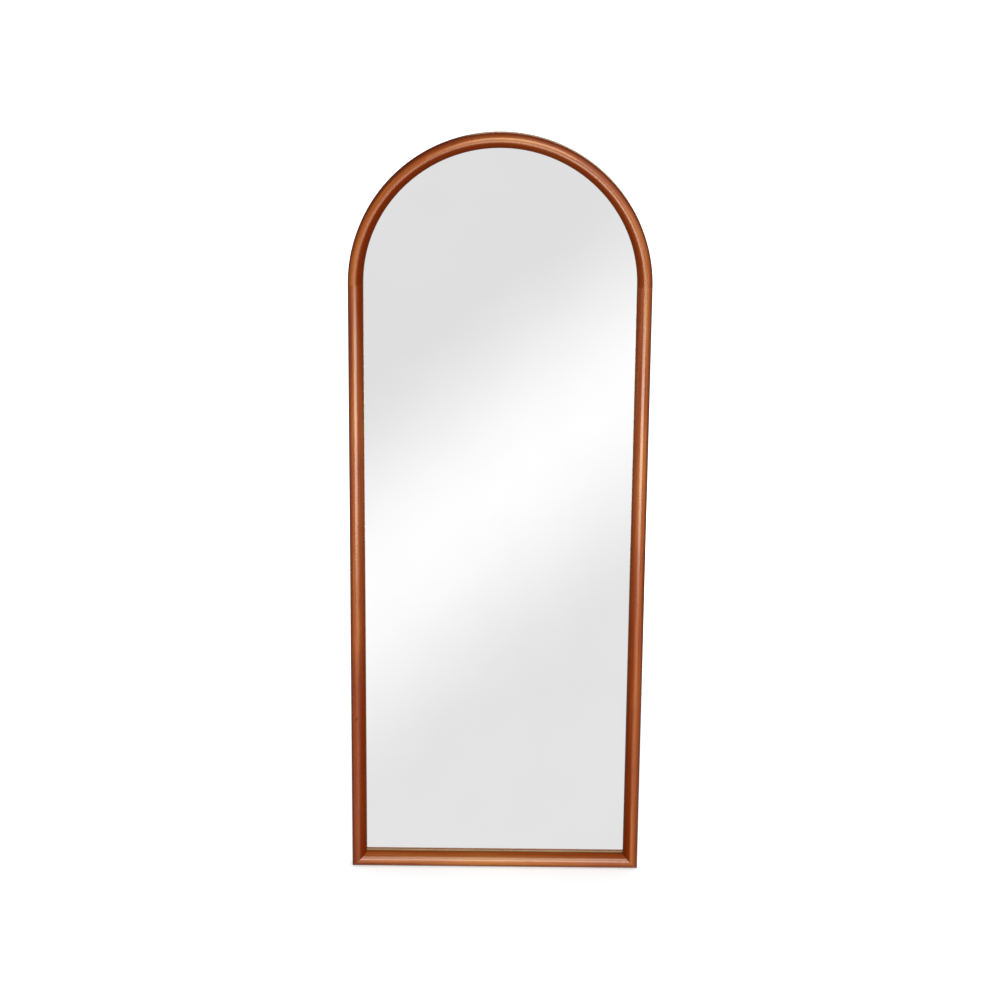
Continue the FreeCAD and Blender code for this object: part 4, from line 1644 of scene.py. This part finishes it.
@dataclass
class PaperFloor:
    """A plain floor that reads as white paper and keeps the object's shadow."""

    reach: float = 60.0
    drift: Pattern = Pattern((400.0, 400.0, 400.0), detail=2.0)
    tones: tuple[str, str] = ("#dfe5ee", "#e5ebf4")
    tone_reach: Range = (0.3, 0.7)
    bounce: str = "#aaaaaa"
    # The paper glows less near the object, so that its shadow shows there.
    glow: Range = (0.42, 1.0)
    glow_reach: Range = (0.9, 3.2)

    def material(self) -> bpy.types.Material:
        """Pale paper for the camera, and a duller bounce for the light.

        Returns:
            The floor's material.
        """
        made = bpy.data.materials.new("white_paper_floor")
        tree = blank_tree(made)
        place = add(tree, "ShaderNodeTexCoord").outputs["Object"]
        stops = tuple(zip(self.tone_reach, map(linear, self.tones)))
        pale = add(tree, "ShaderNodeValToRGB", {"Fac": self.drift.lay(tree, place)}, stops)
        matt = add(tree, "ShaderNodeBsdfDiffuse", {"Color": linear(self.bounce)})
        lit = add(tree, "ShaderNodeBsdfDiffuse", {"Color": pale})
        brighter = {
            "Value": add(tree, "ShaderNodeVectorMath", {0: place}, operation="LENGTH"),
            "From Min": self.glow_reach[0],
            "From Max": self.glow_reach[1],
            "To Min": self.glow[0],
            "To Max": self.glow[1],
        }
        level = add(tree, "ShaderNodeMapRange", brighter, interpolation_type="SMOOTHSTEP")
        glow = add(tree, "ShaderNodeEmission", {"Color": linear("#ffffff"), "Strength": level})
        paper = add(tree, "ShaderNodeAddShader", {0: lit, 1: glow})
        camera = add(tree, "ShaderNodeLightPath").outputs["Is Camera Ray"]
        seen = add(tree, "ShaderNodeMixShader", {0: camera, 1: matt, 2: paper})
        add(tree, "ShaderNodeOutputMaterial", {"Surface": seen})
        return made

    def build(self) -> None:
        bm = bmesh.new()
        bmesh.ops.create_grid(bm, x_segments=1, y_segments=1, size=self.reach)
        floor = add_object("floor", mesh_from(bm, "floor"))
        floor.data.materials.append(self.material())
        floor.visible_glossy = False
        floor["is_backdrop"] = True


@dataclass
class Room:
    """What is around the object: white for the camera, soft fill for the light, walls for what shines."""

    # The sheen in the mirror: a pale band between two greys, by the angle of what it reflects.
    band_lean: float = 0.737
    band_period: Range = (-0.52, 0.03)
    band_edges: Range = (-0.368, -0.185)
    band_tones: tuple[str, str, str] = ("#e4e4e4", "#ffffff", "#e0e0e0")
    # A direction that runs less than this along Y counts as running this far.
    least_depth: float = 0.05
    # The window of pale wall before the mirror: where it is gone and where full, along Y, then by slope.
    window_front: Range = (-0.1, -0.4)
    window_side: Range = (0.32, 0.12)
    window_top: Range = (0.2, -0.08)
    window_foot: Range = (-0.9, -0.52)
    # The rest of the room is dim above and paler low down, most of all behind.
    # Each range says where a part of it begins and where it is full, along an axis of the direction.
    front: Range = (0.2, -0.3)
    ground: Range = (0.06, -0.2)
    ground_tones: tuple[str, str] = ("#c8c8c8", "#8c8c8c")
    # A pale wall high in front on the right veils that shoulder of the arch.
    veil_side: Range = (0.0, 0.25)
    veil_foot: Range = (-0.12, 0.1)
    upper_tones: tuple[str, str] = ("#484848", "#ffffff")
    sky: Range = (-0.4, 0.8)
    sky_tones: tuple[str, str] = ("#3c3c3c", "#dcdcdc")

    def within(self, tree: Tree, *limits: tuple[Any, Range]) -> Node:
        """The share to which several soft limits hold together.

        Args:
            tree: the world's node tree.
            limits: values, each with where it is gone and where it is full.

        Returns:
            The node that gives the share.
        """
        share: Any = 1.0
        for value, (gone, full) in limits:
            reach = {"Value": value, "From Min": gone, "From Max": full}
            fade = add(tree, "ShaderNodeMapRange", reach, interpolation_type="SMOOTHSTEP")
            share = add(tree, "ShaderNodeMath", {0: share, 1: fade}, operation="MULTIPLY")
        return share

    def band(self, tree: Tree, way: Mapping[str, Socket], depth: Node) -> Node:
        """The pale band that leans across the wall that the mirror shows.

        Args:
            tree: the world's node tree.
            way: the sockets of the direction that is looked in.
            depth: how far that direction runs along Y.

        Returns:
            The node that gives the colour.
        """
        turn = add(tree, "ShaderNodeMath", {0: way["X"], 1: depth}, operation="ARCTAN2")
        lift = add(tree, "ShaderNodeMath", {0: way["Z"]}, operation="ARCSINE")
        lean = add(tree, "ShaderNodeMath", {0: turn, 1: -self.band_lean, 2: lift}, operation="MULTIPLY_ADD")
        first, last = self.band_period
        period = {"Value": lean, "From Min": first, "From Max": last}
        share = add(tree, "ShaderNodeMapRange", period, clamp=False)
        wave = add(tree, "ShaderNodeMath", {0: share}, operation="FRACT")
        low, bright, high = map(linear, self.band_tones)
        begin, end = ((edge - first) / (last - first) for edge in self.band_edges)
        stops = ((0.0, low), (1.0, low), (begin, low), ((begin + end) / 2, bright), (end, high))
        band = add(tree, "ShaderNodeValToRGB", {"Fac": wave}, stops)
        band.color_ramp.interpolation = "EASE"
        return band

    def window(self, tree: Tree, way: Mapping[str, Socket], depth: Node) -> Node:
        """How much of the pale wall is seen: it ends softly beyond what the mirror shows of it.

        Args:
            tree: the world's node tree.
            way: the sockets of the direction that is looked in.
            depth: how far that direction runs along Y.

        Returns:
            The node that gives the share.
        """
        across, rise = (
            add(tree, "ShaderNodeMath", {0: way[axis], 1: depth}, operation="DIVIDE") for axis in ("X", "Z")
        )
        aside = add(tree, "ShaderNodeMath", {0: across}, operation="ABSOLUTE")
        return self.within(
            tree,
            (way["Y"], self.window_front),
            (aside, self.window_side),
            (rise, self.window_top),
            (rise, self.window_foot),
        )

    def walls(self, tree: Tree, way: Mapping[str, Socket]) -> Node:
        """The walls of the room that show in what shines softly.

        Args:
            tree: the world's node tree.
            way: the sockets of the direction that is looked in.

        Returns:
            The node that gives the colour.
        """
        front = (way["Y"], self.front)
        veil = self.within(tree, front, (way["X"], self.veil_side), (way["Z"], self.veil_foot))
        near = self.within(tree, front)
        upper, ground = (
            add(tree, "ShaderNodeMix", {"Factor": share, 6: linear(dim), 7: linear(full)}, data_type="RGBA")
            for share, (dim, full) in ((veil, self.upper_tones), (near, self.ground_tones))
        )
        low = self.within(tree, (way["Z"], self.ground))
        return add(tree, "ShaderNodeMix", {"Factor": low, 6: upper, 7: ground}, data_type="RGBA")

    def build(self) -> None:
        """Makes the world of the scene."""
        world = bpy.data.worlds.new("studio")
        bpy.context.scene.world = world
        tree = blank_tree(world)
        looked = add(tree, "ShaderNodeTexCoord").outputs["Generated"]
        way = add(tree, "ShaderNodeSeparateXYZ", {0: looked}).outputs
        path = add(tree, "ShaderNodeLightPath").outputs
        flat = add(tree, "ShaderNodeMath", {0: way["Y"]}, operation="ABSOLUTE")
        depth = add(tree, "ShaderNodeMath", {0: flat, 1: self.least_depth}, operation="MAXIMUM")
        # The mirror, which alone is sharp, shows the pale wall whichever way it faces.
        sharp = {0: self.window(tree, way, depth), 1: path["Is Singular Ray"]}
        pale = add(tree, "ShaderNodeMath", sharp, operation="MAXIMUM")
        shown = {"Factor": pale, 6: self.walls(tree, way), 7: self.band(tree, way, depth)}
        shine = add(tree, "ShaderNodeMix", shown, data_type="RGBA")
        low, high = self.sky
        above = add(tree, "ShaderNodeMapRange", {"Value": way["Z"], "From Min": low, "From Max": high})
        sky = add(tree, "ShaderNodeValToRGB", {"Fac": above}, tuple(enumerate(map(linear, self.sky_tones))))
        soft, gloss, white = (
            add(tree, "ShaderNodeBackground", {"Color": colour}) for colour in (sky, shine, linear("#ffffff"))
        )
        mirrored = {0: path["Is Glossy Ray"], 1: path["Is Transmission Ray"]}
        shiny = add(tree, "ShaderNodeMath", mirrored, operation="MAXIMUM")
        lit = add(tree, "ShaderNodeMixShader", {0: shiny, 1: soft, 2: gloss})
        seen = add(tree, "ShaderNodeMixShader", {0: path["Is Camera Ray"], 1: lit, 2: white})
        add(tree, "ShaderNodeOutputWorld", {"Surface": seen})


@dataclass(frozen=True)
class Softbox:
    """A soft lamp that faces a point."""

    name: str
    place: Triple
    target: Triple
    size: Range
    watts: float
    colour: str

    def hang(self, spared: bpy.types.Object) -> None:
        """Hangs the lamp and reports it.

        Args:
            spared: the object that the lamp leaves alone, so that it has no image in the mirror.
        """
        light = bpy.data.lights.new(self.name, "AREA")
        light.shape = "RECTANGLE"
        light.size, light.size_y = self.size
        light.energy = self.watts
        light.color = linear(self.colour)[:3]
        lamp = add_object(self.name, light)
        lamp.location = self.place
        aim = Vector(self.target) - Vector(self.place)
        lamp.rotation_euler = aim.to_track_quat("-Z", "Y").to_euler()
        lamp.visible_camera = False
        apart = bpy.data.collections.new(f"{self.name}_spares")
        apart.objects.link(spared)
        for entry in apart.collection_objects:
            entry.light_linking.link_state = "EXCLUDE"
        lamp.light_linking.receiver_collection = apart
        LOG.info("%s: %.0f W", self.name, self.watts)


# One softbox low in front, one above it and one behind for the back
SOFTBOXES = (
    Softbox("front_softbox", (0.05, -2.6, 0.45), (0.0, 0.0, 0.55), (1.8, 0.86), 33.0, "#fff6e6"),
    Softbox("overhead_softbox", (0.4, -4.0, 3.1), (0.0, 0.0, 0.9), (2.4, 2.3), 82.0, "#fff2d2"),
    Softbox("rear_softbox", (0.8, 3.0, 1.6), (0.0, 0.0, 1.0), (2.2, 2.2), 48.0, "#fff2d2"),
)


@dataclass(frozen=True)
class PhotoCamera:
    """The camera, where the photograph was taken from."""

    place: Triple = (0.011, -5.449, 2.513)
    yaw_deg: float = -0.07
    pitch_deg: float = -16.19
    roll_deg: float = 0.55
    focal_px: float = 2400.0
    image_px: float = 1000.0
    sensor_mm: float = 36.0

    def build(self) -> None:
        """Stands the camera in its place and turns it to the object."""
        yaw, pitch, roll = (math.radians(a) for a in (self.yaw_deg, self.pitch_deg, self.roll_deg))
        ahead = Vector((math.sin(yaw) * math.cos(pitch), math.cos(yaw) * math.cos(pitch), math.sin(pitch)))
        level = Vector((math.cos(yaw), -math.sin(yaw), 0.0))
        rise = level.cross(ahead)
        right = level * math.cos(roll) + rise * math.sin(roll)
        top = rise * math.cos(roll) - level * math.sin(roll)
        data = bpy.data.cameras.new("camera")
        data.sensor_width = self.sensor_mm
        data.lens = self.focal_px / self.image_px * self.sensor_mm
        camera = add_object("camera", data)
        turned = Matrix((right, top, -ahead)).transposed().to_4x4()
        camera.matrix_world = Matrix.Translation(self.place) @ turned
        bpy.context.scene.camera = camera


def write_sizes() -> None:
    """Gathers the construction's box and the visual model's box side by side, and keeps neither."""
    boxes = {"cad": cad_box, "visual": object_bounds()}
    {name: [list(corner) for corner in box] for name, box in boxes.items()}


def main() -> None:
    """Builds the mirror's sub-assemblies in order, then the studio."""
    logging.basicConfig(level=logging.INFO, format="%(name)s %(message)s")
    sizes = FrameSizes.read()
    ArchedFrame(sizes).build()
    pane = MirrorPane(sizes).build()
    Fasteners().build()
    for side in Side:
        Hanger(side).build()
    HiddenParts().build()
    PaperFloor().build()
    Room().build()
    for softbox in SOFTBOXES:
        softbox.hang(pane)
    PhotoCamera().build()
    bpy.context.scene.view_settings.view_transform = "Standard"
    write_sizes()


if __name__ == "__main__":
    main()
